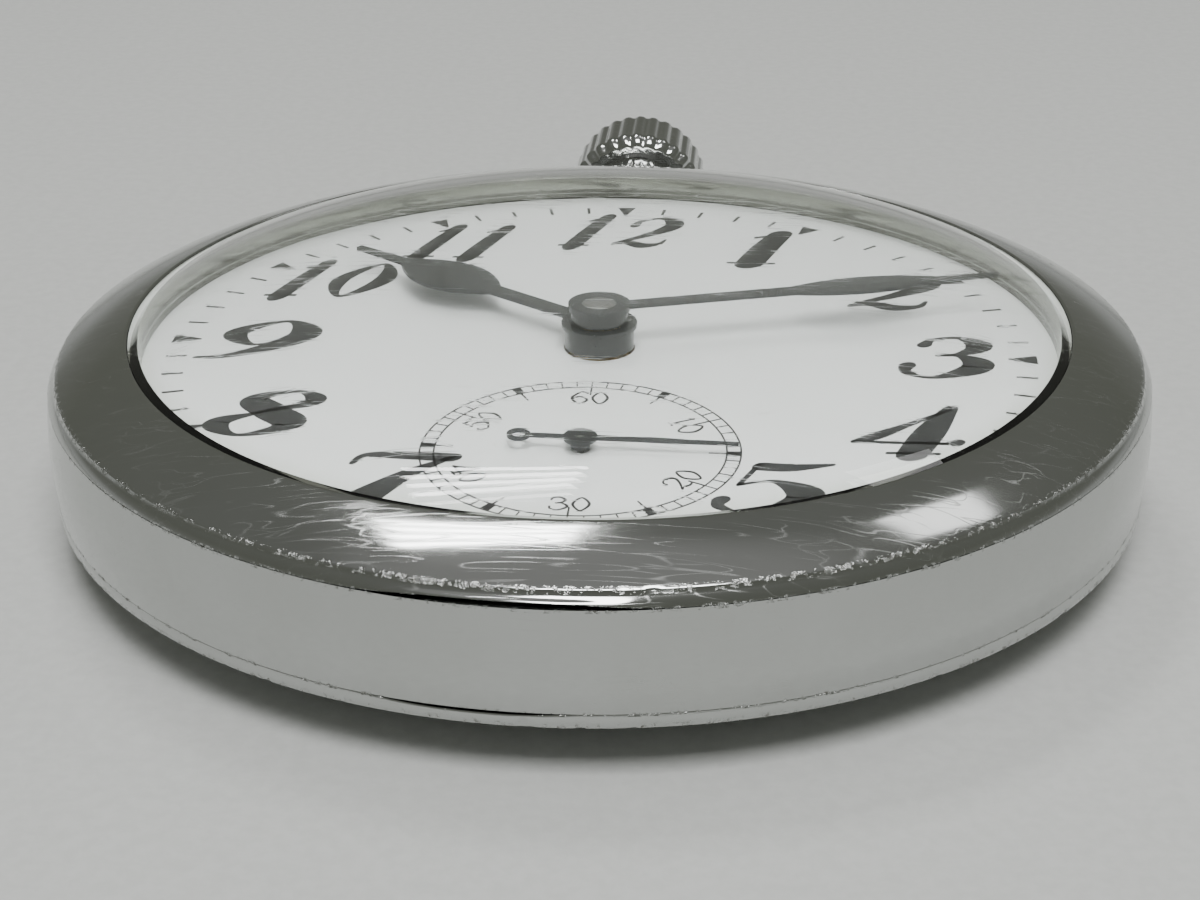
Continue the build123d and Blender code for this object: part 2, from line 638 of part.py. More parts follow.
def main_plate():
    plate = cyl(plate_radius, plate_bottom_z, plate_top_z)
    plate -= cyl(pocket_radius, plate_bottom_z - 1, barrel_pocket_z, barrel_x, barrel_y)
    plate -= cyl(motion_recess, motion_z - GAP, plate_top_z + 1)
    wheel_room = motion_module * (minute_wheel_teeth / 2 + 1) + 2 * GAP
    plate -= cyl(wheel_room, motion_z - GAP, plate_top_z + 1, 0, minute_wheel_y)
    setting_room = motion_module * (setting_teeth / 2 + 1) + 2 * GAP
    plate -= cyl(setting_room, motion_z - GAP, plate_top_z + 1, 0, setting_y)
    plate += cyl(0.5, motion_z - GAP, motion_z + 0.5, 0, minute_wheel_y)
    plate += cyl(0.7, motion_z - GAP, motion_z + 0.35, 0, setting_y)
    # the stem's run, and the keyless work's bay that is open to both sides
    plate -= rod_y(0.75 + PLAY, winding_pinion_y, plate_radius + 1)
    plate -= box(-0.8, 0.8, winding_pinion_y, plate_radius + 1, plate_bottom_z - 1, stem_z)
    plate -= rod_y(1.05, plate_radius - 2.2, plate_radius + 1)
    bay_end = winding_pinion_y + winding_pinion_length / 2 + GAP
    plate -= box(-1.7, 1.7, clutch_start - crown_pull - 0.35, bay_end, plate_bottom_z - 1, plate_top_z + 1)
    lever_z = plate_top_z - 0.5
    post_x, post_y = setting_lever_post
    plate -= box(post_x - 1, 0.6, post_y - 1.5, post_y + 1.2, lever_z, plate_top_z + 1)
    plate -= box(-0.6, 0.6, post_y - 1.2, post_y + 1.0, stem_z, plate_top_z + 1)
    plate += cyl(post_radius, lever_z - 0.1, plate_top_z - 0.05, post_x, post_y)
    post_x, post_y = yoke_post
    plate -= box(1.0, post_x + 1, post_y - 1.3, post_y + 1.6, lever_z, plate_top_z + 1)
    plate += cyl(post_radius, lever_z - 0.1, plate_top_z - 0.05, post_x, post_y)
    plate += cyl(post_radius, bridge_in_z + 0.06, plate_bottom_z + 0.1, *hack_post)
    # bearings, dial feet, and the tapped holes of the screws
    plate -= cyl(centre_arbor_radius + FIT, 0, 9)
    for x, y in jewelled[1:]:
        plate -= cyl(jewel_radius, plate_bottom_z - 1, plate_bottom_z + jewel_height, x, y)
    plate -= cyl(0.45, plate_bottom_z - 1, plate_top_z + 1, fourth_x, fourth_y)
    for x, y in (*pillars, cock_screw, pallet_bridge_screw):
        plate -= cyl(screw_shank, plate_bottom_z - 1, plate_bottom_z + screw_bite, x, y)
    for angle in dial_feet_angles:
        x, y = polar(plate_radius - 1.6, angle)
        plate -= cyl(0.4, plate_top_z - 1.0, plate_top_z + 1, x, y)
        hole = Pos(plate_radius - 0.65, 0, plate_top_z - 0.6) * Rot(0, 90, 0) * Cylinder(0.3, 2.1)
        plate -= Rot(0, 0, angle) * hole
    for x, y in case_screw_places:
        plate -= cyl(case_screw_radius, plate_bottom_z - 1, plate_bottom_z + 1.1, x, y)
    for side in (-1, 1):
        x, y = beside(pallet_x, pallet_y, 2.6, line_angle)
        bx, by = beside(x, y, side * banking_offset, line_angle + 90)
        plate += cyl(0.14, escape_wheel_z - 0.1, plate_bottom_z + 0.1, bx, by)
    return plate


def bridge_blank(side):
    """Half of the round bridge layer, cut back around the balance."""
    half = Pos(0, bridge_split_y + side * (30 + bridge_split / 2)) * Rectangle(60, 60)
    cock_room = disc_face(cock_foot_radius + GAP, *cock_foot)
    return (Circle(bridge_radius) & half) - disc_face(balance_pocket, balance_x, balance_y) - cock_room


def with_pillars(body, places):
    """Pillars down to the main plate, and a counterbored hole through each one."""
    for x, y in places:
        body += cyl(pillar_radius, bridge_out_z + 0.1, plate_bottom_z, x, y)
    for x, y in places:
        body -= cyl(screw_shank + 0.03, 0, 9, x, y)
        body -= cyl(screw_head + 0.06, 0, bridge_out_z + screw_head_height, x, y)
    return body


def barrel_bridge():
    body = slab(bridge_blank(1), bridge_out_z, bridge_in_z)
    body = with_pillars(body, barrel_bridge_pillars)
    body -= cyl(crown_arbor_radius + FIT, 0, 9, 0, crown_wheel_y)
    body -= cyl(barrel_arbor_radius + FIT, 0, 9, barrel_x, barrel_y)
    body -= cyl(screw_shank, 0, bridge_in_z + 1, click_x, click_y)
    body -= cyl(jewel_radius, bridge_in_z - jewel_height, bridge_in_z + 1)
    body -= cyl(0.5, 0, 9)
    return body


def train_bridge():
    body = slab(bridge_blank(-1), bridge_out_z, bridge_in_z)
    body = with_pillars(body, train_bridge_pillars)
    for x, y in jewelled[1:4]:
        body -= cyl(jewel_radius, bridge_in_z - jewel_height, bridge_in_z + 1, x, y)
        body -= cyl(0.5, 0, 9, x, y)
    return body


def balance_cock():
    """The cock: a foot on the plate's edge and an arm that widens over the balance staff."""
    arm = make_hull((disc_face(1.9, balance_x, balance_y) + disc_face(cock_foot_radius, *cock_foot)).edges())
    arm &= Circle(bridge_radius)
    body = slab(arm, cock_out_z, cock_in_z)
    room = disc_face(balance_radius + 0.45, balance_x, balance_y)
    edge = (disc_face(cock_foot_radius, *cock_foot) & Circle(bridge_radius)) - room
    body += slab(edge, cock_out_z + 0.1, plate_bottom_z)
    body -= cyl(screw_shank + 0.03, 0, 9, *cock_screw)
    body -= tube(2 * bridge_radius, cock_step_radius, 0, cock_foot_z)
    body -= cyl(screw_head + 0.06, 0, cock_foot_z + screw_head_height, *cock_screw)
    body -= cyl(jewel_radius, cock_in_z - jewel_height, cock_in_z + 1, balance_x, balance_y)
    body -= cyl(0.5, 0, 9, balance_x, balance_y)
    stud_x, stud_y = hairspring_end
    return body - cyl(0.22, 0, 9, stud_x, stud_y)


def pallet_bridge():
    arm = make_hull((disc_face(1.0, pallet_x, pallet_y) + disc_face(1.1, *pallet_bridge_screw)).edges())
    low, high = pallet_bridge_z, pallet_bridge_z + pallet_bridge_height
    body = slab(arm, low, high)
    body += slab(disc_face(1.1, *pallet_bridge_screw), low + 0.05, plate_bottom_z)
    body -= cyl(screw_shank + 0.03, 0, 9, *pallet_bridge_screw)
    body -= cyl(screw_head + 0.04, 0, low + 0.02 + screw_head_height, *pallet_bridge_screw)
    return body - cyl(0.5, 0, 9, pallet_x, pallet_y)


def plate_screw(x, y, head_z, length):
    """One movement screw: a slotted cheese head that faces the back, and its shank."""
    head = cyl(screw_head, head_z, head_z + screw_head_height, x, y)
    shank = cyl(screw_shank, head_z + screw_head_height - 0.05, head_z + length, x, y)
    return head + shank - Pos(x, y, head_z) * Box(3, 0.22, 0.3)


def movement_screws():
    bite = plate_bottom_z + screw_bite - 0.05
    screws = [plate_screw(x, y, bridge_out_z, bite - bridge_out_z) for x, y in pillars]
    screws.append(plate_screw(*cock_screw, cock_foot_z, bite - cock_foot_z))
    low = pallet_bridge_z + 0.02
    screws.append(plate_screw(*pallet_bridge_screw, low, bite - low))
    top = winding_wheel_z - screw_head_height
    screws.append(plate_screw(*click_screw, top, bridge_in_z - top))
    return screws


def plate_jewels():
    low = plate_bottom_z
    return [tube(jewel_radius, pivot_radius + FIT, low, low + jewel_height, x, y) for x, y in jewelled[1:]]


def bridge_jewels():
    low = bridge_in_z - jewel_height
    jewels = [tube(jewel_radius, pivot_radius + FIT, low, bridge_in_z, x, y) for x, y in jewelled[:4]]
    pallet_top = pallet_bridge_z + pallet_bridge_height
    low = cock_in_z - jewel_height
    jewels.append(tube(0.5, pivot_radius + FIT, pallet_bridge_z, pallet_top, pallet_x, pallet_y))
    jewels.append(tube(jewel_radius, pivot_radius + FIT, low, cock_in_z, balance_x, balance_y))
    return jewels


def case_screws():
    """Two screws in the plate's rim whose wide heads hold it down on the middle's ledge."""
    screws = []
    for x, y in case_screw_places:
        low = plate_seat_z - seat_wall - screw_head_height
        head = cyl(case_screw_head, low, plate_seat_z - seat_wall, x, y)
        shank = cyl(case_screw_radius, low + 0.1, plate_seat_z + 1.05, x, y)
        screws.append(head + shank - Pos(x, y, low) * Box(3, 0.25, 0.3))
    return screws


# ================================================================ barrel and winding work
def mainspring_barrel():
    drum = barrel_module * barrel_teeth / 2 - 2.2 * barrel_module
    top = barrel_z + barrel_height
    body = cyl(drum, barrel_z + 0.2, top, barrel_x, barrel_y)
    face = gear_face(barrel_teeth, barrel_module, barrel_phase)
    body += Pos(barrel_x, barrel_y, 0) * slab(face, barrel_tooth_z, barrel_tooth_z + barrel_tooth_height)
    body -= cyl(drum - barrel_wall, barrel_z - 1, top - 0.25, barrel_x, barrel_y)
    return body - cyl(barrel_arbor_radius + FIT, 0, 9, barrel_x, barrel_y)


def barrel_cover():
    drum = barrel_module * barrel_teeth / 2 - 2.2 * barrel_module
    inner = drum - barrel_wall
    lid = tube(drum, barrel_arbor_radius + FIT, barrel_z, barrel_z + 0.2, barrel_x, barrel_y)
    return lid + tube(inner, inner - barrel_wall, barrel_z + 0.19, barrel_z + 0.3, barrel_x, barrel_y)


def barrel_arbor():
    top = barrel_pocket_z - GAP + 0.05
    body = cyl(barrel_arbor_radius, bridge_out_z - 0.02, top, barrel_x, barrel_y)
    body += cyl(arbor_core_radius, barrel_z + 0.25, barrel_z + barrel_height - 0.3, barrel_x, barrel_y)
    square_z = (winding_wheel_z + bridge_out_z) / 2
    body += Pos(barrel_x, barrel_y, square_z) * Box(1.1, 1.1, bridge_out_z - winding_wheel_z)
    return body - cyl(0.35, 0, bridge_out_z + 0.8, barrel_x, barrel_y)


def spiral_ribbon(inner, outer, turns, width, low, high, x, y, start):
    """A coiled strip as half-turn arcs, each a little wider than the last."""
    halves = int(turns * 2)
    grow = (outer - inner) / halves
    result = None
    for n in range(halves):
        radius = inner + n * grow
        side = 1 - 2 * (n % 2)
        ring = Circle(radius + width / 2) - Circle(radius - width / 2)
        piece = Pos((n % 2) * grow, 0) * (ring & (Pos(0, side * 30) * Rectangle(80, 60)))
        result = piece if result is None else result + piece
    return Pos(x, y, 0) * Rot(0, 0, start) * slab(result, low, high)


def mainspring():
    drum = barrel_module * barrel_teeth / 2 - 2.2 * barrel_module - barrel_wall
    low, high = barrel_z + 0.35, barrel_z + barrel_height - 0.35
    return spiral_ribbon(arbor_core_radius + 0.35, drum - 0.6, 7, 0.22, low, high, barrel_x, barrel_y, 0)


def ratchet_wheel():
    face = gear_face(ratchet_teeth, winding_module, ratchet_phase, tip=0.7, root=1.0)
    low = winding_wheel_z
    body = Pos(barrel_x, barrel_y, 0) * slab(face, low, low + winding_wheel_height)
    return body - Pos(barrel_x, barrel_y, low) * Box(1.14, 1.14, 3)


def ratchet_screw():
    low = winding_wheel_z - screw_head_height
    head = cyl(1.3, low, winding_wheel_z, barrel_x, barrel_y)
    shank = cyl(0.33, low + 0.1, bridge_out_z + 0.7, barrel_x, barrel_y)
    return head + shank - Pos(barrel_x, barrel_y, low) * Box(3, 0.28, 0.3)


def crown_wheel():
    """The flat wheel on the bridge, and under the bridge the face-toothed wheel on the same arbor."""
    low = winding_wheel_z
    face = gear_face(crown_wheel_teeth, winding_module, 0.0, tip=0.7, root=1.0)
    flat_wheel = slab(face, low, low + winding_wheel_height) - Pos(0, 0, low) * Box(1.3, 1.3, 3)
    disc_low = bridge_in_z + 0.06
    root_z = crown_skirt_tip_z - 0.3
    lower = cyl(crown_skirt_radius + 0.35, disc_low, root_z)
    lower += cyl(crown_arbor_radius, bridge_out_z - 0.04, disc_low + 0.1)
    lower += Pos(0, 0, (low + bridge_out_z) / 2) * Box(1.26, 1.26, bridge_out_z - low)
    for n in range(crown_skirt_teeth):
        tooth = Pos(crown_skirt_radius, 0, (root_z - 0.1 + crown_skirt_tip_z) / 2)
        tooth *= Box(0.62, 0.15, crown_skirt_tip_z - root_z + 0.1)
        lower += Rot(0, 0, 90 + (n + 0.5) * 360 / crown_skirt_teeth) * tooth
    lower -= cyl(0.36, 0, bridge_in_z)
    head_z = low - screw_head_height
    screw = cyl(1.2, head_z, low) + cyl(0.34, low - 0.1, bridge_in_z - 0.1)
    screw -= Pos(0, 0, head_z) * Box(3, 0.26, 0.3)
    return [Pos(0, crown_wheel_y, 0) * piece for piece in (flat_wheel, lower, screw)]


def click():
    """A pawl on the bridge, drawn lifted just clear of the ratchet's teeth."""
    tip_radius = winding_module * (ratchet_teeth / 2 + 0.7) + 0.06
    aim = degrees(atan2(click_y - barrel_y, click_x - barrel_x))
    beak = beside(barrel_x, barrel_y, tip_radius + 0.02, aim - 13)
    heel = beside(barrel_x, barrel_y, tip_radius + 0.75, aim - 13)
    root = beside(click_x, click_y, 0.85, aim - 60)
    low = winding_wheel_z + 0.02
    arm = make_face(Polyline(beak, heel, root, (click_x, click_y), close=True))
    face = disc_face(1.0, click_x, click_y) + arm - disc_face(screw_shank + PLAY, click_x, click_y)
    pawl = slab(face, low, low + winding_wheel_height - 0.04)
    return pawl - cyl(tip_radius - 0.03, 0, 3, barrel_x, barrel_y)


def click_spring():
    """A bent wire spring that lies against the click's heel."""
    x, y = click_x - 1.0, click_y + 1.5
    path = Circle(1.9) - Circle(1.65) - Pos(-2, 0) * Rectangle(2.6, 4)
    return Pos(x, y + 1.2, 0) * slab(path, winding_wheel_z + 0.1, bridge_out_z)


# ================================================================ going train
def centre_wheel():
    return wheel(centre_teeth, centre_module, centre_arbor_radius, centre_wheel_z, wheel_thickness, 0, 0, 0.0)


def centre_arbor():
    body = cyl(centre_arbor_radius, bridge_in_z + 0.05, minute_boss_top_z - FIT)
    leaves_low = centre_wheel_z + wheel_thickness + 0.15
    body += pinion(centre_leaves, barrel_module, leaves_low, plate_bottom_z - 0.05, 0, 0, 0.0)
    return body + cyl(pivot_radius, bridge_in_z - jewel_height, bridge_in_z + 0.1)


def third_wheel():
    return wheel(third_teeth, third_module, 0.32, third_wheel_z, wheel_thickness, third_x, third_y, 0.0)


def third_arbor():
    body = cyl(0.32, bridge_in_z + 0.04, plate_bottom_z - 0.05, third_x, third_y)
    low, high = bridge_in_z + 0.04, third_wheel_z - 0.02
    body += pinion(third_leaves, centre_module, low, high, third_x, third_y, third_pinion_phase)
    high = plate_bottom_z + jewel_height
    return body + cyl(pivot_radius, bridge_in_z - jewel_height, high, third_x, third_y)


def fourth_wheel():
    return wheel(fourth_teeth, fourth_module, 0.3, fourth_wheel_z, wheel_thickness, fourth_x, fourth_y, 0.0)


def fourth_arbor():
    x, y = fourth_x, fourth_y
    body = cyl(0.3, bridge_in_z + 0.04, plate_bottom_z - 0.05, x, y)
    low, high = third_wheel_z - 0.08, third_wheel_z + wheel_thickness + 0.15
    body += pinion(fourth_leaves, third_module, low, high, x, y, fourth_pinion_phase)
    body += cyl(pivot_radius, bridge_in_z - jewel_height, plate_bottom_z + jewel_height + 0.1, x, y)
    return body + cyl(seconds_pivot, plate_bottom_z + jewel_height + 0.02, second_hand_z + 0.1, x, y)


def escape_wheel():
    """Fifteen hooked club teeth on a light spoked rim."""
    points = []
    step = 360 / escape_teeth
    rim = escape_radius - 0.85
    for n in range(escape_teeth):
        a = escape_phase + n * step
        points.append(polar(rim, a - 9))
        points.append(polar(escape_radius - 0.12, a - 2.2))
        points.append(polar(escape_radius, a))
        points.append(polar(escape_radius - 0.2, a + 0.6))
        points.append(polar(rim, a + 2.5))
    face = spoked(make_face(Polyline(*points, close=True)), rim - 0.4, 0.7, 4, 0.3)
    face -= Circle(0.26)
    return Pos(escape_x, escape_y, 0) * slab(face, escape_wheel_z, escape_wheel_z + wheel_thickness)


def escape_arbor():
    x, y = escape_x, escape_y
    body = cyl(0.26, bridge_in_z + 0.04, plate_bottom_z - 0.05, x, y)
    low, high = fourth_wheel_z - 0.15, fourth_wheel_z + 0.45
    body += pinion(escape_leaves, fourth_module, low, high, x, y, escape_pinion_phase)
    return body + cyl(pivot_radius, bridge_in_z - jewel_height, plate_bottom_z + jewel_height, x, y)


# ================================================================ escapement
def along_line(face):
    """Turn a fork drawn with its lever along +X onto the line of centres, laid over at rest."""
    return Pos(pallet_x, pallet_y, 0) * Rot(0, 0, line_angle + pallet_rest) * face


def pallet_fork():
    lever = Pos(fork_length / 2, 0) * Rectangle(fork_length, 0.34)
    horns = Pos(fork_length - 0.1, 0) * (Circle(0.52) - Pos(0.62, 0) * Rectangle(1.0, 1.2))
    notch = Pos(fork_length + 0.05, 0) * Rectangle(0.7, 0.30)
    arms = None
    for side in (-1, 1):
        x, y = polar(stone_radius - 0.1, 180 + side * 62)
        arm = make_hull((disc_face(0.3) + disc_face(0.2, x, y)).edges())
        arms = arm if arms is None else arms + arm
    face = lever + horns + arms - notch - Circle(0.2) - stone_faces()
    return along_line(slab(face, fork_z, fork_z + fork_thickness))


def stone_faces():
    faces = None
    for side in (-1, 1):
        x, y = polar(stone_radius - 0.28, 180 + side * 60)
        stone = Pos(x, y) * Rot(0, 0, 180 + side * 60) * Rectangle(0.8, 0.24)
        faces = stone if faces is None else faces + stone
    return faces


def pallet_stones():
    body = along_line(slab(stone_faces(), fork_z + 0.02, fork_z + fork_thickness - 0.02))
    return list(body.solids())


def pallet_staff():
    x, y = pallet_x, pallet_y
    body = cyl(0.2, pallet_bridge_z + 0.3, plate_bottom_z - 0.05, x, y)
    return body + cyl(pivot_radius, pallet_bridge_z + 0.02, plate_bottom_z + jewel_height, x, y)


def balance_wheel():
    rim = Circle(balance_radius) - Circle(balance_radius - balance_rim_width)
    body = slab(rim, balance_z, balance_z + balance_rim_height)
    arm = Rectangle(2 * balance_radius - 0.6, 0.8) + Circle(1.1)
    body += slab(arm - Circle(0.4), balance_z + 0.2, balance_z + 0.45)
    screw_z = balance_z + balance_rim_height / 2
    for n in range(balance_screw_count):
        angle = (n + 0.5) * 360 / balance_screw_count
        screw = rod_x(0.25, balance_radius - 0.13, balance_radius + 0.37, 0, screw_z)
        body += Rot(0, 0, angle) * screw
    return Pos(balance_x, balance_y, 0) * Rot(0, 0, line_angle + 90) * body


def balance_staff():
    x, y = balance_x, balance_y
    body = cyl(0.4, balance_z - 0.1, balance_z + 0.95, x, y)
    body += cyl(0.3, cock_in_z + 0.05, plate_bottom_z - 0.05, x, y)
    body += cyl(collet_radius, hairspring_z - 0.03, hairspring_z + hairspring_height + 0.03, x, y)
    return body + cyl(pivot_radius, cock_in_z - jewel_height, plate_bottom_z + jewel_height, x, y)


def roller():
    """The roller table under the balance, with its ruby impulse pin on the far side from the fork."""
    x, y = balance_x, balance_y
    top = balance_z + 0.5
    body = tube(roller_radius, 0.4, top, top + 0.3, x, y)
    px, py = beside(x, y, impulse_radius, line_angle + 180 + rest_swing)
    return body + cyl(0.13, top + 0.2, fork_z + fork_thickness - 0.02, px, py)


def hairspring():
    low, high = hairspring_z, hairspring_z + hairspring_height
    inner = collet_radius + 0.07
    return spiral_ribbon(inner, hairspring_outer, hairspring_turns, 0.07, low, high, balance_x, balance_y, 90)


def hairspring_stud():
    stud_x, stud_y = hairspring_end
    return cyl(0.22, cock_out_z - 0.05, hairspring_z - 0.01, stud_x, stud_y)


def regulator():
    """The regulator: a ring on the cock with a pointer and two curb pins."""
    low, high = cock_out_z - 0.3, cock_out_z - 0.04
    face = Circle(1.3) - Circle(0.75)
    pointer = make_face(Polyline((1.1, -0.3), (4.6, -0.08), (4.6, 0.08), (1.1, 0.3), close=True))
    face += pointer
    body = Rot(0, 0, cock_foot_angle + 180) * slab(face, low, high)
    return Pos(balance_x, balance_y, 0) * body


# ================================================================ motion work and setting work
def cannon_pinion():
    """A pipe on the centre arbor: a pinion, a body for the hour wheel and a seat for the minute hand."""
    bore = centre_arbor_radius
    leaves_top = motion_z + 0.3
    leaves = pinion(cannon_leaves, motion_module, motion_z, leaves_top, 0, 0, 0.0) - cyl(bore, 0, 20)
    body = tube(cannon_radius, bore, leaves_top + FIT, hour_hand_z + hand_thickness + GAP)
    return tube(minute_socket, bore, motion_z, minute_boss_top_z - FIT) + leaves + body


def hour_wheel():
    low = motion_z + 0.38
    face = gear_face(hour_wheel_teeth, hour_module, hour_wheel_phase) - Circle(cannon_radius + PLAY)
    body = slab(face, low, low + 0.2)
    return body + tube(cannon_radius + 0.25, cannon_radius + PLAY, low + 0.1, hour_hand_z + 0.1)


def dial_washer():
    low = motion_z + 0.6
    return tube(1.6, cannon_radius + 0.27, low, low + 0.1)


def minute_wheel():
    face = gear_face(minute_wheel_teeth, motion_module, minute_wheel_phase) - Circle(0.5 + PLAY)
    body = slab(face, motion_z, motion_z + 0.25)
    pin = gear_face(minute_pinion_leaves, hour_module, minute_pinion_phase, tip=0.75, root=1.0, width=0.40)
    body += slab(pin - Circle(0.5 + PLAY), motion_z + 0.2, motion_z + 0.6)
    return Pos(0, minute_wheel_y, 0) * body


def setting_wheel():
    face = gear_face(setting_teeth, motion_module, setting_phase) - Circle(0.7 + PLAY)
    return Pos(0, setting_y, 0) * slab(face, motion_z, motion_z + 0.25)


def face_teeth(count, inner, outer, low, high, phase, width):
    """Teeth that stand up from the end of a cylinder along Z."""
    teeth = None
    for n in range(count):
        tooth = Rot(0, 0, phase + n * 360 / count) * Pos((inner + outer) / 2, 0, (low + high) / 2)
        tooth *= Box(outer - inner, width, high - low)
        teeth = tooth if teeth is None else teeth + tooth
    return teeth


def clutch_wheel():
    """The sliding clutch on the stem's square: setting teeth inward, a waist groove for the yoke."""
    body = cyl(clutch_radius, 0.35, 1.0) + cyl(0.95, 0.9, 1.8) + cyl(clutch_radius, 1.7, clutch_length - 0.3)
    body += face_teeth(clutch_teeth, 0.72, clutch_radius, 0.0, 0.4, 11.25, 0.2)
    body -= Pos(0, 0, 1.5) * Box(0.84, 0.84, 6)
    return Pos(0, clutch_start, stem_z) * Rot(-90, 0, 0) * body


def winding_pinion():
    module = 2 * winding_pinion_radius / (winding_pinion_teeth + 1.4)
    face = gear_face(winding_pinion_teeth, module, 90.0, tip=0.7, root=1.0)
    half = winding_pinion_length / 2
    body = slab(face - Circle(0.75 + PLAY), -half, half)
    return Pos(0, winding_pinion_y, stem_z) * Rot(-90, 0, 0) * body


def setting_lever():
    """A lever on the dial side whose nose sits in the stem's groove."""
    x, y = setting_lever_post
    nose_y = winding_pinion_y + stem_groove
    low, high = plate_top_z - 0.36, plate_top_z - 0.1
    face = make_hull((disc_face(0.75, x, y) + disc_face(0.2, 0, nose_y)).edges()) - disc_face(0.3, x, y)
    return slab(face, low, high) + cyl(0.2, stem_z + 0.5, high, 0, nose_y)


def yoke():
    """The clutch lever: its tongue rides in the clutch's waist."""
    x, y = yoke_post
    waist_y = clutch_start + clutch_waist
    low, high = plate_top_z - 0.36, plate_top_z - 0.1
    face = make_hull((disc_face(0.7, x, y) + disc_face(0.28, 1.3, waist_y)).edges()) - disc_face(0.3, x, y)
    finger = box(1.02, 1.5, waist_y - 0.28, waist_y + 0.28, stem_z - 0.3, high)
    return slab(face, low, high) + finger


def hack_lever():
    """A thin lever under the balance that stops its roller when the crown is out."""
    tip_x = balance_x - roller_radius - hack_gap - 0.2
    face = make_hull((disc_face(0.6, *hack_post) + disc_face(0.2, tip_x, balance_y)).edges())
    return slab(face - disc_face(post_radius + FIT, *hack_post), bridge_in_z + 0.1, bridge_in_z + 0.25)


NODES = (
    case_middle, pendant, pendant_sleeve, bow, bow_screws, bezel, crystal, case_back, crown, winding_stem,
    case_screws, dial, dial_screws, dial_washer, hour_hand, minute_hand, seconds_hand, main_plate,
    barrel_bridge, train_bridge, balance_cock, pallet_bridge, movement_screws, plate_jewels, bridge_jewels,
    mainspring_barrel, barrel_cover, barrel_arbor, mainspring, ratchet_wheel, ratchet_screw, crown_wheel,
    click, click_spring, centre_wheel, centre_arbor, third_wheel, third_arbor, fourth_wheel, fourth_arbor,
    escape_wheel, escape_arbor, pallet_fork, pallet_stones, pallet_staff, balance_wheel, balance_staff,
    roller, hairspring, hairspring_stud, regulator, cannon_pinion, hour_wheel, minute_wheel, setting_wheel,
    clutch_wheel, winding_pinion, setting_lever, yoke, hack_lever,
)


def write_parts():
    os.makedirs("parts", exist_ok=True)
    for make in NODES:
        made = make()
        shape = Compound(children=list(made)) if isinstance(made, list) else made
        export_step(shape, f"parts/{make.__name__}.step")


write_parts()
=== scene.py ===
"""An open face pocket watch: chromed case, acrylic crystal, white dial and black hands, on a pale table."""

import json
import math

import bmesh
import bpy
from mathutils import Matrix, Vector, noise

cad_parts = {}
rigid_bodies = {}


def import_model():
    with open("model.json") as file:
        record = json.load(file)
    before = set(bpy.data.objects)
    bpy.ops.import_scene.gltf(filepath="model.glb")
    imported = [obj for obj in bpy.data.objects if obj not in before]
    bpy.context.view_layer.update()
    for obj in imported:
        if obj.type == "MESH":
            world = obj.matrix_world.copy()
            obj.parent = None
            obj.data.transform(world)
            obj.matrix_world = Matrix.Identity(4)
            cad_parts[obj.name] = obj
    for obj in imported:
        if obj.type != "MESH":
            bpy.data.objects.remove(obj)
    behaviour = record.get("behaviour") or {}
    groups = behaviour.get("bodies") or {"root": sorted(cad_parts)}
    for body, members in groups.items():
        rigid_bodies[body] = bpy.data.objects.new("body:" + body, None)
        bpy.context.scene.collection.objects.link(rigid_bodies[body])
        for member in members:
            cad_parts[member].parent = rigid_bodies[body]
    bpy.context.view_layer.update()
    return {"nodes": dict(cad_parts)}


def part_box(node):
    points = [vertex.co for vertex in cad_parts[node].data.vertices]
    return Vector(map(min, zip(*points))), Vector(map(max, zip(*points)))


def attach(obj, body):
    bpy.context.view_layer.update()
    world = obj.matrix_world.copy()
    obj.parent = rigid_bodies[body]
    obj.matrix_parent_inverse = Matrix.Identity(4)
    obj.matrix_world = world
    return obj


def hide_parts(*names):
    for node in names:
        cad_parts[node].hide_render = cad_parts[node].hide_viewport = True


for leftover in list(bpy.data.objects):
    bpy.data.objects.remove(leftover)

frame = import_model()
nodes = frame["nodes"]

# ---------------------------------------------------------------- sizes, in millimetres
MM = 0.001


def low(node):
    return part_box(node)[0] / MM


def high(node):
    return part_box(node)[1] / MM


case_radius = high("case_back").x
back_seam = low("case_middle").z
front_seam = high("case_middle").z
back_rim = back_seam - 0.6
back_flat = 13.0
back_wall = 0.45
lip_height = high("bezel").z
lip_radius = high("crystal").x - 0.61
edge_radius = case_radius - 0.4
edge_height = front_seam + 0.65
seam_radius = case_radius - 0.04
snap_outer = case_radius - 0.8
snap_inner = snap_outer - 0.7
snap_depth = 0.75
crystal_base = low("crystal").z
crystal_top = high("crystal").z
crystal_wall = 0.6
crystal_edge = lip_height - 0.06
dial_top = high("dial").z
stem_height = (low("crown").z + high("crown").z) / 2
crown_radius = high("crown").x
crown_start = low("crown").y
crown_end = high("crown").y
seconds_y = (low("fourth_wheel").y + high("fourth_wheel").y) / 2
numeral_circle = 15.9
numeral_height = 4.6
minute_circle = 19.4
seconds_outer, seconds_inner = 6.74, 6.15
seconds_numeral_circle = 5.05
seconds_numeral_height = 1.15


# ---------------------------------------------------------------- mesh making
def curved(start, end, bulge, steps):
    """Points from start to end, leaving out end, bowed to the left of the way by bulge at the middle."""
    run, rise = end[0] - start[0], end[1] - start[1]
    length = math.hypot(run, rise)
    side = (-rise / length, run / length)
    points = []
    for k in range(steps):
        t = k / steps
        lift = 4 * bulge * t * (1 - t)
        points.append((start[0] + run * t + side[0] * lift, start[1] + rise * t + side[1] * lift))
    return points


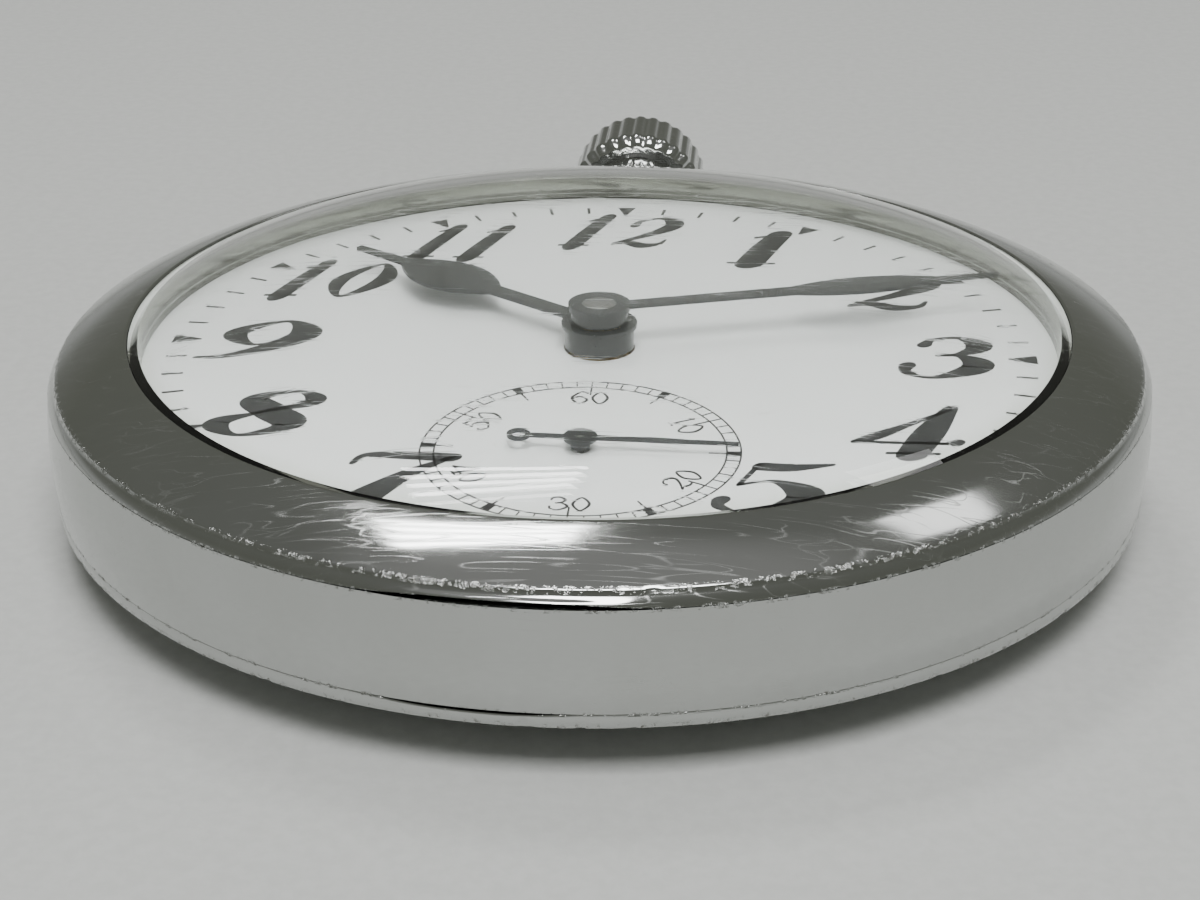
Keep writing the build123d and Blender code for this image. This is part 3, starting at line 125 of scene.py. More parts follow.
def turned(profile, turns):
    """A closed outline of (radius, height) points turned round Z, as vertices and faces."""
    vertices, rings, faces = [], [], []
    for radius, height in profile:
        first = len(vertices)
        if radius < 1e-6:
            rings.append([first])
            vertices.append((0.0, 0.0, height))
            continue
        rings.append(list(range(first, first + turns)))
        for k in range(turns):
            angle = 2 * math.pi * k / turns
            vertices.append((radius * math.cos(angle), radius * math.sin(angle), height))
    for near, far in zip(rings, rings[1:] + rings[:1]):
        for k in range(turns):
            a, b = near[k % len(near)], near[(k + 1) % len(near)]
            c, d = far[(k + 1) % len(far)], far[k % len(far)]
            corners = list(dict.fromkeys((a, b, c, d)))
            if len(corners) > 2:
                faces.append(corners)
    return vertices, faces


def finished(mesh, name, body, finish, replaced=(), crease=30.0):
    """A mesh in metres made into a piece: faces outwards, creases sharp, riding on its body."""
    work = bmesh.new()
    work.from_mesh(mesh)
    bmesh.ops.remove_doubles(work, verts=work.verts, dist=1e-8)
    bmesh.ops.recalc_face_normals(work, faces=work.faces)
    work.to_mesh(mesh)
    work.free()
    mesh.polygons.foreach_set("use_smooth", [True] * len(mesh.polygons))
    mesh.set_sharp_from_angle(angle=math.radians(crease))
    mesh.materials.clear()
    mesh.materials.append(finish)
    mesh.update()
    piece = bpy.data.objects.new(name, mesh)
    bpy.context.scene.collection.objects.link(piece)
    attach(piece, body)
    if replaced:
        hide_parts(*replaced)
    return piece


def millimetre_mesh(name, vertices, faces):
    mesh = bpy.data.meshes.new(name)
    mesh.from_pydata([Vector(v) * MM for v in vertices], [], faces)
    return mesh


def fade(x):
    """0 below 0, 1 above 1, and smooth between."""
    x = min(max(x, 0.0), 1.0)
    return x * x * (3 - 2 * x)


def nicked(vertices, radius, height, reach, depth, grain):
    """Small dents along an edge, where a carried case knocks against keys and coins."""
    worn = []
    for x, y, z in vertices:
        r = math.hypot(x, y)
        near = 1 - fade(math.hypot(r - radius, z - height) / reach)
        if near > 0:
            chip = noise.noise(Vector((x, y, z)) * grain)
            dent = near * depth * fade((chip - 0.2) / 0.3)
            x, y, z = x * (1 - dent / r), y * (1 - dent / r), z - dent * (1 if height > 5 else -1)
        worn.append((x, y, z))
    return worn


# ---------------------------------------------------------------- finishes
class Finish:
    """A material built from nodes on Object coordinates, in millimetres."""

    def __init__(self, name):
        self.material = bpy.data.materials.new(name)
        self.material.use_nodes = True
        self.tree = self.material.node_tree
        self.tree.nodes.clear()
        self.out = self.node("ShaderNodeOutputMaterial")
        self.shader = self.node("ShaderNodeBsdfPrincipled")
        self.link(self.shader.outputs[0], self.out.inputs[0])
        coordinates = self.node("ShaderNodeTexCoord")
        self.place = self.mapped(coordinates.outputs["Object"], (1000, 1000, 1000))

    def node(self, kind, **settings):
        made = self.tree.nodes.new(kind)
        for key, value in settings.items():
            setattr(made, key, value)
        return made

    def link(self, source, target):
        self.tree.links.new(source, target)

    def feed(self, node, name, value):
        socket = node.inputs[name]
        if isinstance(value, bpy.types.NodeSocket):
            self.link(value, socket)
        else:
            socket.default_value = value

    def set(self, **values):
        for name, value in values.items():
            self.feed(self.shader, name.replace("_", " "), value)

    def mapped(self, vector, scale=(1, 1, 1), turn=(0, 0, 0), shift=(0, 0, 0)):
        made = self.node("ShaderNodeMapping")
        self.link(vector, made.inputs["Vector"])
        made.inputs["Scale"].default_value = scale
        made.inputs["Rotation"].default_value = [math.radians(a) for a in turn]
        made.inputs["Location"].default_value = shift
        return made.outputs["Vector"]

    def clouds(self, scale, detail=3.0, rough=0.55, vector=None, warp=0.0):
        made = self.node("ShaderNodeTexNoise")
        self.link(vector or self.place, made.inputs["Vector"])
        made.inputs["Scale"].default_value = scale
        made.inputs["Detail"].default_value = detail
        made.inputs["Roughness"].default_value = rough
        made.inputs["Distortion"].default_value = warp
        return made.outputs["Fac"]

    def sum(self, operation, first, second=0.0):
        made = self.node("ShaderNodeMath", operation=operation)
        self.feed(made, 0, first)
        self.feed(made, 1, second)
        return made.outputs[0]

    def ranged(self, value, start, end, low_value=0.0, high_value=1.0):
        """value from start to end, drawn out to low_value to high_value with soft ends."""
        made = self.node("ShaderNodeMapRange", interpolation_type="SMOOTHSTEP")
        self.feed(made, "Value", value)
        limits = {"From Min": start, "From Max": end, "To Min": low_value, "To Max": high_value}
        for name, number in limits.items():
            made.inputs[name].default_value = number
        return made.outputs[0]

    def blend(self, share, first, second):
        made = self.node("ShaderNodeMix", data_type="RGBA")
        self.feed(made, 0, share)
        self.feed(made, 6, first)
        self.feed(made, 7, second)
        return made.outputs[2]

    def scratches(self, turn, fineness, rarity, length=14.0):
        """Hair lines along one direction, kept to patches, 0 to 1."""
        slanted = self.mapped(self.place, (1 / length, 1.0, 1.0), (turn * 0.3, turn * 0.2, turn))
        lines = self.clouds(fineness, 1.0, 0.4, slanted, 0.04)
        hair = self.ranged(self.sum("ABSOLUTE", self.sum("SUBTRACT", lines, 0.5)), 0.010, 0.0)
        shifted = self.mapped(self.place, shift=(turn, turn, 0))
        patches = self.ranged(self.clouds(0.35, 2.0, 0.5, shifted), rarity, rarity + 0.12)
        return self.sum("MULTIPLY", hair, patches)

    def all_scratches(self, turns, fineness, rarity, length=14.0):
        total = None
        for turn in turns:
            one = self.scratches(turn, fineness, rarity, length)
            total = one if total is None else self.sum("MAXIMUM", total, one)
        return total

    def near_ring(self, radius, height, reach):
        """1 on a circle of that radius and height round Z, 0 from reach away."""
        apart = self.node("ShaderNodeSeparateXYZ")
        self.link(self.place, apart.inputs[0])
        x, y, z = apart.outputs
        across = self.sum("SQRT", self.sum("ADD", self.sum("MULTIPLY", x, x), self.sum("MULTIPLY", y, y)))
        dr = self.sum("SUBTRACT", across, radius)
        dz = self.sum("SUBTRACT", z, height)
        away = self.sum("SQRT", self.sum("ADD", self.sum("MULTIPLY", dr, dr), self.sum("MULTIPLY", dz, dz)))
        return self.ranged(away, reach, 0.0)

    def bumped(self, height, depth_mm, strength=1.0, under=None):
        made = self.node("ShaderNodeBump")
        made.inputs["Strength"].default_value = strength
        made.inputs["Distance"].default_value = depth_mm * MM
        self.feed(made, "Height", height)
        if under is not None:
            self.link(under, made.inputs["Normal"])
        return made.outputs[0]


def rgb(red, green, blue):
    return (red, green, blue, 1.0)


def chrome(name, edges):
    """Worn chrome plate: faintly hazed by handling, finely scratched, and pitted along its edges."""
    f = Finish(name)
    fine = f.all_scratches((17, 63, 108, 151), 1.1, 0.45, 22.0)
    coarse = f.all_scratches((35, 128), 0.5, 0.53, 16.0)
    marks = f.sum("MAXIMUM", fine, coarse)
    haze = f.ranged(f.clouds(0.22, 4.0, 0.6), 0.3, 0.8)
    grease = f.ranged(f.clouds(1.3, 5.0, 0.7), 0.4, 0.85)
    wear = None
    for radius, height, reach in edges:
        ring = f.near_ring(radius, height, reach)
        wear = ring if wear is None else f.sum("MAXIMUM", wear, ring)
    chips = f.ranged(f.clouds(3.2, 4.0, 0.7), 0.52, 0.62)
    pits = f.sum("MULTIPLY", chips, wear if edges else 0.0)
    dark = f.sum("MULTIPLY", pits, f.ranged(f.clouds(5.5, 2.0, 0.5), 0.5, 0.6))
    plate = f.blend(haze, rgb(0.49, 0.50, 0.49), rgb(0.465, 0.475, 0.46))
    f.set(Base_Color=f.blend(f.sum("MULTIPLY", dark, 0.75), plate, rgb(0.10, 0.09, 0.07)))
    rough = f.sum("ADD", f.sum("MULTIPLY", haze, 0.015), 0.09)
    rough = f.sum("ADD", rough, f.sum("MULTIPLY", grease, 0.02))
    rough = f.sum("ADD", rough, f.sum("MULTIPLY", marks, 0.17))
    f.set(Metallic=1.0, Roughness=f.sum("ADD", rough, f.sum("MULTIPLY", pits, 0.25)))
    soft = f.bumped(f.clouds(0.8, 2.0, 0.5), 0.01, 0.12)
    lines = f.bumped(f.sum("MULTIPLY", marks, -1.0), 0.002, 0.45, soft)
    f.set(Normal=f.bumped(f.sum("MULTIPLY", pits, -1.0), 0.03, 0.6, lines))
    return f.material


def acrylic():
    """Pressed acrylic, faintly yellow, with wear scratches. Lamps shine through it."""
    f = Finish("acrylic_glass")
    marks = f.all_scratches((12, 71, 133), 1.1, 0.5, 16.0)
    wall = f.near_ring(lip_radius, (crystal_base + crystal_edge) / 2, 1.7)
    f.set(Base_Color=f.blend(wall, rgb(0.985, 0.988, 0.972), rgb(0.72, 0.735, 0.65)))
    f.set(Roughness=f.sum("MULTIPLY", marks, 0.12), IOR=1.49)
    f.set(Transmission_Weight=1.0, Normal=f.bumped(f.sum("MULTIPLY", marks, -1.0), 0.001, 0.3))
    path = f.node("ShaderNodeLightPath")
    open_glass = f.node("ShaderNodeBsdfTransparent")
    open_glass.inputs[0].default_value = rgb(0.97, 0.972, 0.96)
    either = f.node("ShaderNodeMixShader")
    f.link(path.outputs["Is Shadow Ray"], either.inputs[0])
    f.link(f.shader.outputs[0], either.inputs[1])
    f.link(open_glass.outputs[0], either.inputs[2])
    f.link(either.outputs[0], f.out.inputs[0])
    return f.material


def lacquer():
    """Glossy white dial lacquer with a faint cool cast, fine hairs and specks."""
    f = Finish("white_lacquer")
    mottle = f.ranged(f.clouds(0.18, 3.0, 0.6), 0.35, 0.7)
    specks = f.ranged(f.clouds(4.5, 2.0, 0.5), 0.70, 0.76)
    hairs = f.all_scratches((25, 95), 0.8, 0.55, 18.0)
    base = f.blend(mottle, rgb(0.70, 0.73, 0.735), rgb(0.685, 0.715, 0.72))
    base = f.blend(f.sum("MULTIPLY", specks, 0.35), base, rgb(0.30, 0.29, 0.26))
    f.set(Base_Color=f.blend(f.sum("MULTIPLY", hairs, 0.18), base, rgb(0.35, 0.36, 0.36)))
    f.set(Roughness=f.sum("ADD", f.sum("MULTIPLY", mottle, 0.04), 0.3), Coat_Weight=0.3, Coat_Roughness=0.1)
    f.set(Normal=f.bumped(f.clouds(1.5, 2.0, 0.5), 0.003, 0.15))
    return f.material


def ink():
    """Black pad printing, slightly grey where the ink is thin."""
    f = Finish("printing_ink")
    thin = f.ranged(f.clouds(3.0, 4.0, 0.65), 0.5, 0.8)
    f.set(Base_Color=f.blend(thin, rgb(0.008, 0.009, 0.010), rgb(0.025, 0.026, 0.028)))
    f.set(Roughness=f.sum("ADD", f.sum("MULTIPLY", thin, 0.2), 0.35))
    f.set(Normal=f.bumped(f.clouds(9.0, 2.0, 0.5), 0.004, 0.3))
    return f.material


def enamel():
    """Gloss black hand paint with chips and dust."""
    f = Finish("black_hand_paint")
    dust = f.ranged(f.clouds(6.0, 4.0, 0.7), 0.62, 0.74)
    f.set(Base_Color=f.blend(dust, rgb(0.012, 0.014, 0.016), rgb(0.10, 0.105, 0.105)))
    f.set(Roughness=f.sum("ADD", f.sum("MULTIPLY", dust, 0.3), 0.18), Coat_Weight=0.5, Coat_Roughness=0.1)
    f.set(Normal=f.bumped(f.clouds(3.0, 3.0, 0.6), 0.01, 0.35))
    return f.material


def metal(name, colour, worn, rough, grain=(1.0, 1.0, 1.0), ripple=0.01):
    """A bare movement metal with graining along one direction."""
    f = Finish(name)
    tarnish = f.ranged(f.clouds(0.5, 4.0, 0.6), 0.4, 0.75)
    lines = f.clouds(2.5, 4.0, 0.6, f.mapped(f.place, grain))
    marks = f.all_scratches((40, 115), 1.4, 0.5)
    f.set(Base_Color=f.blend(tarnish, colour, worn), Metallic=1.0)
    uneven = f.sum("ADD", f.sum("MULTIPLY", lines, 0.16), rough)
    f.set(Roughness=f.sum("ADD", uneven, f.sum("MULTIPLY", marks, 0.2)))
    f.set(Normal=f.bumped(f.sum("SUBTRACT", lines, marks), ripple, 0.35))
    return f.material


def striped_nickel():
    """Nickel plate with broad parallel stripes cut across the bridges."""
    f = Finish("striped_nickel")
    stripe = f.node("ShaderNodeTexWave", wave_type="BANDS", bands_direction="X", wave_profile="SAW")
    f.link(f.mapped(f.place, (0.16, 0.16, 0.16), (0, 0, 38)), stripe.inputs["Vector"])
    stripe.inputs["Scale"].default_value = 1.0
    brushed = f.clouds(3.0, 4.0, 0.6, f.mapped(f.place, (0.4, 12.0, 1.0), (0, 0, 38)))
    tarnish = f.ranged(f.clouds(0.4, 4.0, 0.6), 0.4, 0.8)
    f.set(Base_Color=f.blend(tarnish, rgb(0.66, 0.63, 0.57), rgb(0.55, 0.51, 0.44)), Metallic=1.0)
    f.set(Roughness=f.sum("ADD", f.sum("MULTIPLY", brushed, 0.2), f.sum("MULTIPLY", stripe.outputs[1], 0.12)))
    fine = f.bumped(brushed, 0.006, 0.4)
    f.set(Normal=f.bumped(stripe.outputs[1], 0.10, 0.6, fine))
    return f.material


def jewel():
    """Synthetic ruby, clear pink with veils."""
    f = Finish("synthetic_ruby")
    veil = f.ranged(f.clouds(2.5, 3.0, 0.6), 0.4, 0.7)
    f.set(Base_Color=f.blend(veil, rgb(0.72, 0.03, 0.10), rgb(0.50, 0.02, 0.06)), IOR=1.76)
    f.set(Roughness=f.sum("ADD", f.sum("MULTIPLY", veil, 0.08), 0.04), Coat_Weight=0.5)
    f.set(Normal=f.bumped(veil, 0.004, 0.3))
    return f.material


def table_cloth():
    """A pale table with the faint weave of a smooth cloth."""
    f = Finish("pale_table")
    weave = f.clouds(1.4, 4.0, 0.6)
    f.set(Base_Color=f.blend(f.ranged(weave, 0.3, 0.7), rgb(0.60, 0.61, 0.595), rgb(0.56, 0.57, 0.555)))
    f.set(Roughness=f.sum("ADD", f.sum("MULTIPLY", weave, 0.1), 0.6))
    f.set(Normal=f.bumped(weave, 0.05, 0.3))
    return f.material


case_edges = [
    (edge_radius, edge_height, 0.22), (case_radius, back_rim, 0.3),
    (seam_radius, front_seam, 0.16), (case_radius, back_seam, 0.12),
]
chrome_plate = chrome("worn_chrome", case_edges)
knob_chrome = chrome("worn_knob_chrome", [])
glass = acrylic()
dial_lacquer = lacquer()
black_ink = ink()
hand_paint = enamel()
polished_steel = metal("polished_steel", rgb(0.60, 0.60, 0.60), rgb(0.50, 0.49, 0.46), 0.12)
gilt_brass = metal("gilt_brass", rgb(0.80, 0.58, 0.24), rgb(0.62, 0.42, 0.16), 0.18)
blued_steel = metal("blued_spring_steel", rgb(0.06, 0.10, 0.32), rgb(0.05, 0.07, 0.18), 0.2)
finish_of_slot = {
    "case_chrome": chrome_plate, "crystal_acrylic": glass, "dial_white": dial_lacquer,
    "hand_black": hand_paint, "steel": polished_steel, "plate_nickel": striped_nickel(),
    "brass": gilt_brass, "ruby": jewel(), "spring_blue": blued_steel,
}


def finish_kept_nodes():
    """Every CAD node takes the finish of its slot."""
    for node in nodes.values():
        for k, old in enumerate(node.data.materials):
            node.data.materials[k] = finish_of_slot[old.name.split(".")[0]]
    for name in ("bow", "bow_screws", "pendant"):
        nodes[name].data.materials[0] = knob_chrome


# ---------------------------------------------------------------- case
def bezel_ring():
    """The snap bezel: a crowned top from the crystal's lip to a sharp edge, over an upright band."""
    ceiling = front_seam + 0.95
    groove = lip_radius + 0.65
    lip, edge = (lip_radius, lip_height), (edge_radius, edge_height)
    top = curved((lip_radius + 0.06, lip_height), (edge_radius - 0.05, edge_height + 0.04), 0.13, 26)
    edge_round = [(edge_radius - 0.05, edge_height + 0.04), (edge_radius - 0.015, edge_height + 0.012), edge]
    edge_round += [(edge_radius + 0.01, edge_height - 0.03), (edge_radius + 0.05, edge_height - 0.10)]
    band = curved((edge_radius + 0.08, edge_height - 0.16), (seam_radius, front_seam + 0.05), 0.02, 8)
    foot = [(seam_radius, front_seam + 0.05), (seam_radius - 0.03, front_seam)]
    inside = [
        (snap_outer, front_seam), (snap_outer, front_seam - snap_depth),
        (snap_inner, front_seam - snap_depth), (snap_inner, front_seam),
        (groove, front_seam), (groove, ceiling), (lip_radius, ceiling),
        (lip[0], lip[1] - 0.06), (lip[0] + 0.02, lip[1] - 0.02),
    ]
    vertices, faces = turned(top + edge_round + band + foot + inside, 1080)
    vertices = nicked(vertices, edge_radius, edge_height, 0.1, 0.025, 2.6)
    lifted = []
    for x, y, z in vertices:
        outer = fade((math.hypot(x, y) - snap_outer - 0.15) / 0.3)
        low_part = 1 - fade((z - front_seam) / 0.45)
        across = math.exp(-(((x + 1.7) / 4.6) ** 4)) if y < 0 else 0.0
        lifted.append((x, y, z + 0.24 * outer * low_part * across * (1 if z >= front_seam - 0.01 else 0)))
    mesh = millimetre_mesh("bezel_ring", lifted, faces)
    return finished(mesh, "bezel_ring", "front", chrome_plate, ["bezel"], 40)


def snap_back():
    """The snap back: a shallow dome with a flat to stand on, an upright rim and a snap lip."""
    inner_rim = back_rim + 0.1
    outer = curved((back_flat, 0.0), (case_radius - 0.04, back_rim - 0.03), -0.55, 30)
    rim = [(case_radius - 0.04, back_rim - 0.03), (case_radius, back_rim + 0.03)]
    rim += [(case_radius, back_seam - 0.04)]
    lip = [
        (case_radius - 0.03, back_seam), (snap_outer, back_seam), (snap_outer, back_seam + snap_depth),
        (snap_inner, back_seam + snap_depth), (snap_inner, inner_rim),
    ]
    inner = curved((snap_inner, inner_rim), (back_flat, back_wall), 0.5, 20) + [(back_flat, back_wall)]
    profile = [(0.0, 0.0), (back_flat - 0.4, 0.0)] + outer + rim + lip + inner + [(0.0, back_wall)]
    vertices, faces = turned(profile, 900)
    vertices = nicked(vertices, case_radius, back_rim, 0.14, 0.035, 2.1)
    opened = []
    for x, y, z in vertices:
        across = math.exp(-(((x + 3.0) / 3.4) ** 4)) if y < 0 else 0.0
        outer_part = fade((math.hypot(x, y) - snap_outer - 0.1) / 0.3)
        high_part = fade((z - back_rim) / 0.4) * (1 if z <= back_seam + 0.001 else 0)
        opened.append((x, y, z - 0.13 * across * outer_part * high_part))
    mesh = millimetre_mesh("snap_back", opened, faces)
    return finished(mesh, "snap_back", "back", chrome_plate, ["case_back"], 40)


def dome(radius, edge, top, steps):
    """The crystal's curve, whose height falls away by a power of the radius."""
    fullness = 6
    points = []
    for k in range(steps):
        r = radius * math.cos(math.radians(90 * k / steps))
        points.append((r, top - (top - edge) * (r / radius) ** fullness))
    return points + [(0.0, top)]


def crystal():
    """The pressed crystal: flange, upright wall and a full low dome, all of one thickness."""
    wall = lip_radius - 0.02
    flange_top = front_seam + 0.93
    inner = wall - crystal_wall
    outer = [(wall + 0.61, crystal_base), (wall + 0.61, flange_top), (wall, flange_top)]
    outer += dome(wall, crystal_edge, crystal_top, 72)
    inside = dome(inner, crystal_edge - 0.6 * crystal_wall, crystal_top - crystal_wall, 72)[::-1]
    inside += [(inner, crystal_base)]
    vertices, faces = turned(outer + inside, 256)
    mesh = millimetre_mesh("domed_crystal", vertices, faces)
    return finished(mesh, "domed_crystal", "front", glass, ["crystal"], 35)


def calculator(tree):
    """A function that adds a sum to a node tree and gives its result's socket."""

    def calc(operation, first, second=0.0):
        step = tree.nodes.new("ShaderNodeMath")
        step.operation = operation
        for k, value in enumerate((first, second)):
            if isinstance(value, bpy.types.NodeSocket):
                tree.links.new(value, step.inputs[k])
            else:
                step.inputs[k].default_value = value
        return step.outputs[0]

    return calc


def fluting_tree():
    """Geometry Nodes: presses flutes into a turned knob that lies along Y, and gives it its finish."""
    tree = bpy.data.node_groups.new("crown_fluting", "GeometryNodeTree")
    face = tree.interface
    face.new_socket("Geometry", in_out="INPUT", socket_type="NodeSocketGeometry")
    for name in ("Flutes", "Depth", "Full Radius", "Plain Radius", "Axis Height"):
        face.new_socket(name, in_out="INPUT", socket_type="NodeSocketFloat")
    face.new_socket("Finish", in_out="INPUT", socket_type="NodeSocketMaterial")
    face.new_socket("Geometry", in_out="OUTPUT", socket_type="NodeSocketGeometry")
    add, link = tree.nodes.new, tree.links.new
    given, out = add("NodeGroupInput"), add("NodeGroupOutput")
    calc = calculator(tree)
    where = add("GeometryNodeInputPosition")
    apart = add("ShaderNodeSeparateXYZ")
    link(where.outputs[0], apart.inputs[0])
    x = apart.outputs[0]
    z = calc("SUBTRACT", apart.outputs[2], given.outputs["Axis Height"])
    radius = calc("SQRT", calc("ADD", calc("MULTIPLY", x, x), calc("MULTIPLY", z, z)))
    angle = calc("MULTIPLY", calc("ARCTAN2", z, x), given.outputs["Flutes"])
    wave = calc("POWER", calc("ADD", calc("MULTIPLY", calc("COSINE", angle), 0.5), 0.5), 1.6)
    reach = add("ShaderNodeMapRange")
    reach.interpolation_type = "SMOOTHSTEP"
    link(radius, reach.inputs["Value"])
    link(given.outputs["Plain Radius"], reach.inputs["From Min"])
    link(given.outputs["Full Radius"], reach.inputs["From Max"])
    sink = calc("MULTIPLY", calc("MULTIPLY", wave, reach.outputs[0]), given.outputs["Depth"])
    share = calc("DIVIDE", sink, calc("MAXIMUM", radius, 1e-6))
    move = add("ShaderNodeCombineXYZ")
    link(calc("MULTIPLY", calc("MULTIPLY", x, share), -1.0), move.inputs[0])
    link(calc("MULTIPLY", calc("MULTIPLY", z, share), -1.0), move.inputs[2])
    press = add("GeometryNodeSetPosition")
    real = add("GeometryNodeRealizeInstances")
    paint = add("GeometryNodeSetMaterial")
    link(given.outputs["Geometry"], press.inputs["Geometry"])
    link(move.outputs[0], press.inputs["Offset"])
    link(press.outputs[0], real.inputs[0])
    link(real.outputs[0], paint.inputs["Geometry"])
    link(given.outputs["Finish"], paint.inputs["Material"])
    link(paint.outputs[0], out.inputs[0])
    return tree


def grown(tree, name, base, **inputs):
    """The mesh that a Geometry Nodes tree makes from a base mesh and its named inputs."""
    holder = bpy.data.objects.new(name + "_base", base)
    bpy.context.scene.collection.objects.link(holder)
    modifier = holder.modifiers.new("grow", "NODES")
    modifier.node_group = tree
    sockets = {s.name: s.identifier for s in tree.interface.items_tree if s.in_out == "INPUT"}
    for key, value in inputs.items():
        modifier[sockets[key.replace("_", " ")]] = value
    bpy.context.view_layer.update()
    ready = holder.evaluated_get(bpy.context.evaluated_depsgraph_get())
    mesh = bpy.data.meshes.new_from_object(ready)
    holder.modifiers.remove(modifier)
    bpy.data.objects.remove(holder)
    mesh.name = name
    return mesh


def winding_crown():
    """The winding crown: a fluted drum with a domed end and a recess over the pendant."""
    depth = crown_end - crown_start
    recess = 2.35
    profile = [(0.0, 1.6), (recess, 1.6), (recess, 0.0)]
    profile += [(recess + 0.1, 0.0)] + curved((crown_radius - 0.6, 0.0), (crown_radius, 0.6), -0.12, 10)
    profile += curved((crown_radius, 0.6), (crown_radius, depth - 0.8), 0.0, 18)
    profile += curved((crown_radius, depth - 0.8), (crown_radius - 1.3, depth - 0.1), -0.3, 14)
    profile += curved((crown_radius - 1.3, depth - 0.1), (0.0, depth), -0.02, 8) + [(0.0, depth)]
    vertices, faces = turned(profile, 720)
    laid = [(x, crown_start + z, stem_height + y) for x, y, z in vertices]
    base = millimetre_mesh("crown_drum", laid, faces)
    mesh = grown(
        fluting_tree(), "fluted_crown", base, Flutes=30.0, Depth=0.11 * MM,
        Full_Radius=(crown_radius - 0.2) * MM, Plain_Radius=(crown_radius - 0.8) * MM,
        Axis_Height=stem_height * MM, Finish=knob_chrome,
    )
    return finished(mesh, "fluted_crown", "crown", knob_chrome, ["crown"], 40)


# ---------------------------------------------------------------- dial printing
print_low = dial_top - 0.004
print_high = dial_top + 0.014
slant = 0.32

# Each digit is a list of pen strokes through (across, up, pen width), for a digit one unit tall.
DIGITS = {
    "0": [[(0.42, 1.0, 0.04), (0.11, 0.5, 0.21), (0.42, 0.0, 0.04), (0.73, 0.5, 0.25)]],
    "1": [[(0.33, 0.0, 0.27), (0.33, 0.5, 0.26), (0.35, 1.0, 0.22)],
          [(0.10, 0.012, 0.03), (0.58, 0.012, 0.03)],
          [(0.40, 0.985, 0.03), (0.25, 0.93, 0.05), (0.12, 0.86, 0.03)]],
    "2": [[(0.13, 0.74, 0.13), (0.16, 0.90, 0.06), (0.44, 1.0, 0.05), (0.72, 0.76, 0.25), (0.50, 0.42, 0.13),
           (0.12, 0.10, 0.04)],
          [(0.12, 0.07, 0.05), (0.30, 0.14, 0.10), (0.58, 0.04, 0.13), (0.80, 0.10, 0.07),
           (0.84, 0.24, 0.03)]],
    "3": [[(0.13, 0.80, 0.12), (0.18, 0.93, 0.06), (0.42, 1.0, 0.05), (0.66, 0.79, 0.22), (0.50, 0.58, 0.06),
           (0.32, 0.54, 0.03)],
          [(0.32, 0.54, 0.03), (0.54, 0.54, 0.06), (0.76, 0.28, 0.27), (0.42, 0.0, 0.05), (0.14, 0.10, 0.07),
           (0.10, 0.26, 0.14)]],
    "4": [[(0.58, 0.0, 0.25), (0.61, 0.5, 0.25), (0.66, 1.0, 0.12)],
          [(0.68, 1.0, 0.03), (0.40, 0.66, 0.06), (0.16, 0.37, 0.13), (0.0, 0.24, 0.05)],
          [(0.0, 0.235, 0.035), (0.80, 0.235, 0.035)], [(0.80, 0.235, 0.03), (0.90, 0.26, 0.12)],
          [(0.36, 0.012, 0.03), (0.80, 0.012, 0.03)]],
    "5": [[(0.20, 0.93, 0.13), (0.48, 0.92, 0.12), (0.80, 1.0, 0.03)],
          [(0.17, 0.98, 0.035), (0.13, 0.55, 0.035)],
          [(0.13, 0.55, 0.03), (0.42, 0.63, 0.05), (0.76, 0.33, 0.28), (0.42, 0.0, 0.05), (0.12, 0.10, 0.07),
           (0.08, 0.24, 0.13)]],
    "6": [[(0.72, 0.90, 0.10), (0.45, 1.0, 0.05), (0.10, 0.45, 0.24), (0.42, 0.0, 0.05), (0.74, 0.30, 0.2),
           (0.42, 0.60, 0.04), (0.16, 0.42, 0.05)]],
    "7": [[(0.06, 0.76, 0.04), (0.10, 0.93, 0.07), (0.40, 0.95, 0.12), (0.86, 0.93, 0.14)],
          [(0.88, 0.97, 0.03), (0.62, 0.55, 0.16), (0.45, 0.0, 0.32)]],
    "8": [[(0.44, 1.0, 0.04), (0.14, 0.80, 0.19), (0.42, 0.54, 0.24), (0.74, 0.26, 0.22), (0.40, 0.0, 0.04),
           (0.08, 0.25, 0.20), (0.36, 0.52, 0.035), (0.70, 0.79, 0.17)]],
    "9": [[(0.04, 0.03, 0.04), (0.30, 0.08, 0.08), (0.62, 0.34, 0.20), (0.78, 0.68, 0.27), (0.45, 1.0, 0.04),
           (0.10, 0.68, 0.20), (0.40, 0.38, 0.04), (0.66, 0.50, 0.04)]],
}
CLOSED_DIGITS = "08"
DIGIT_WIDTH = 0.84
THINNEST_PEN = 0.025


def smooth_through(knots, closed, steps=9):
    """Points on a curve through the knots, which hold a pen width as their third number."""
    count = len(knots)
    points = []
    for k in range(count if closed else count - 1):
        if closed:
            p = [Vector(knots[(k + d) % count]) for d in (-1, 0, 1, 2)]
        else:
            p = [Vector(knots[min(max(k + d, 0), count - 1)]) for d in (-1, 0, 1, 2)]
        for j in range(steps):
            t = j / steps
            points.append(0.5 * (
                2 * p[1] + (p[2] - p[0]) * t + (2 * p[0] - 5 * p[1] + 4 * p[2] - p[3]) * t**2
                + (3 * p[1] - p[0] - 3 * p[2] + p[3]) * t**3
            ))
    if not closed:
        points.append(Vector(knots[-1]))
    return points


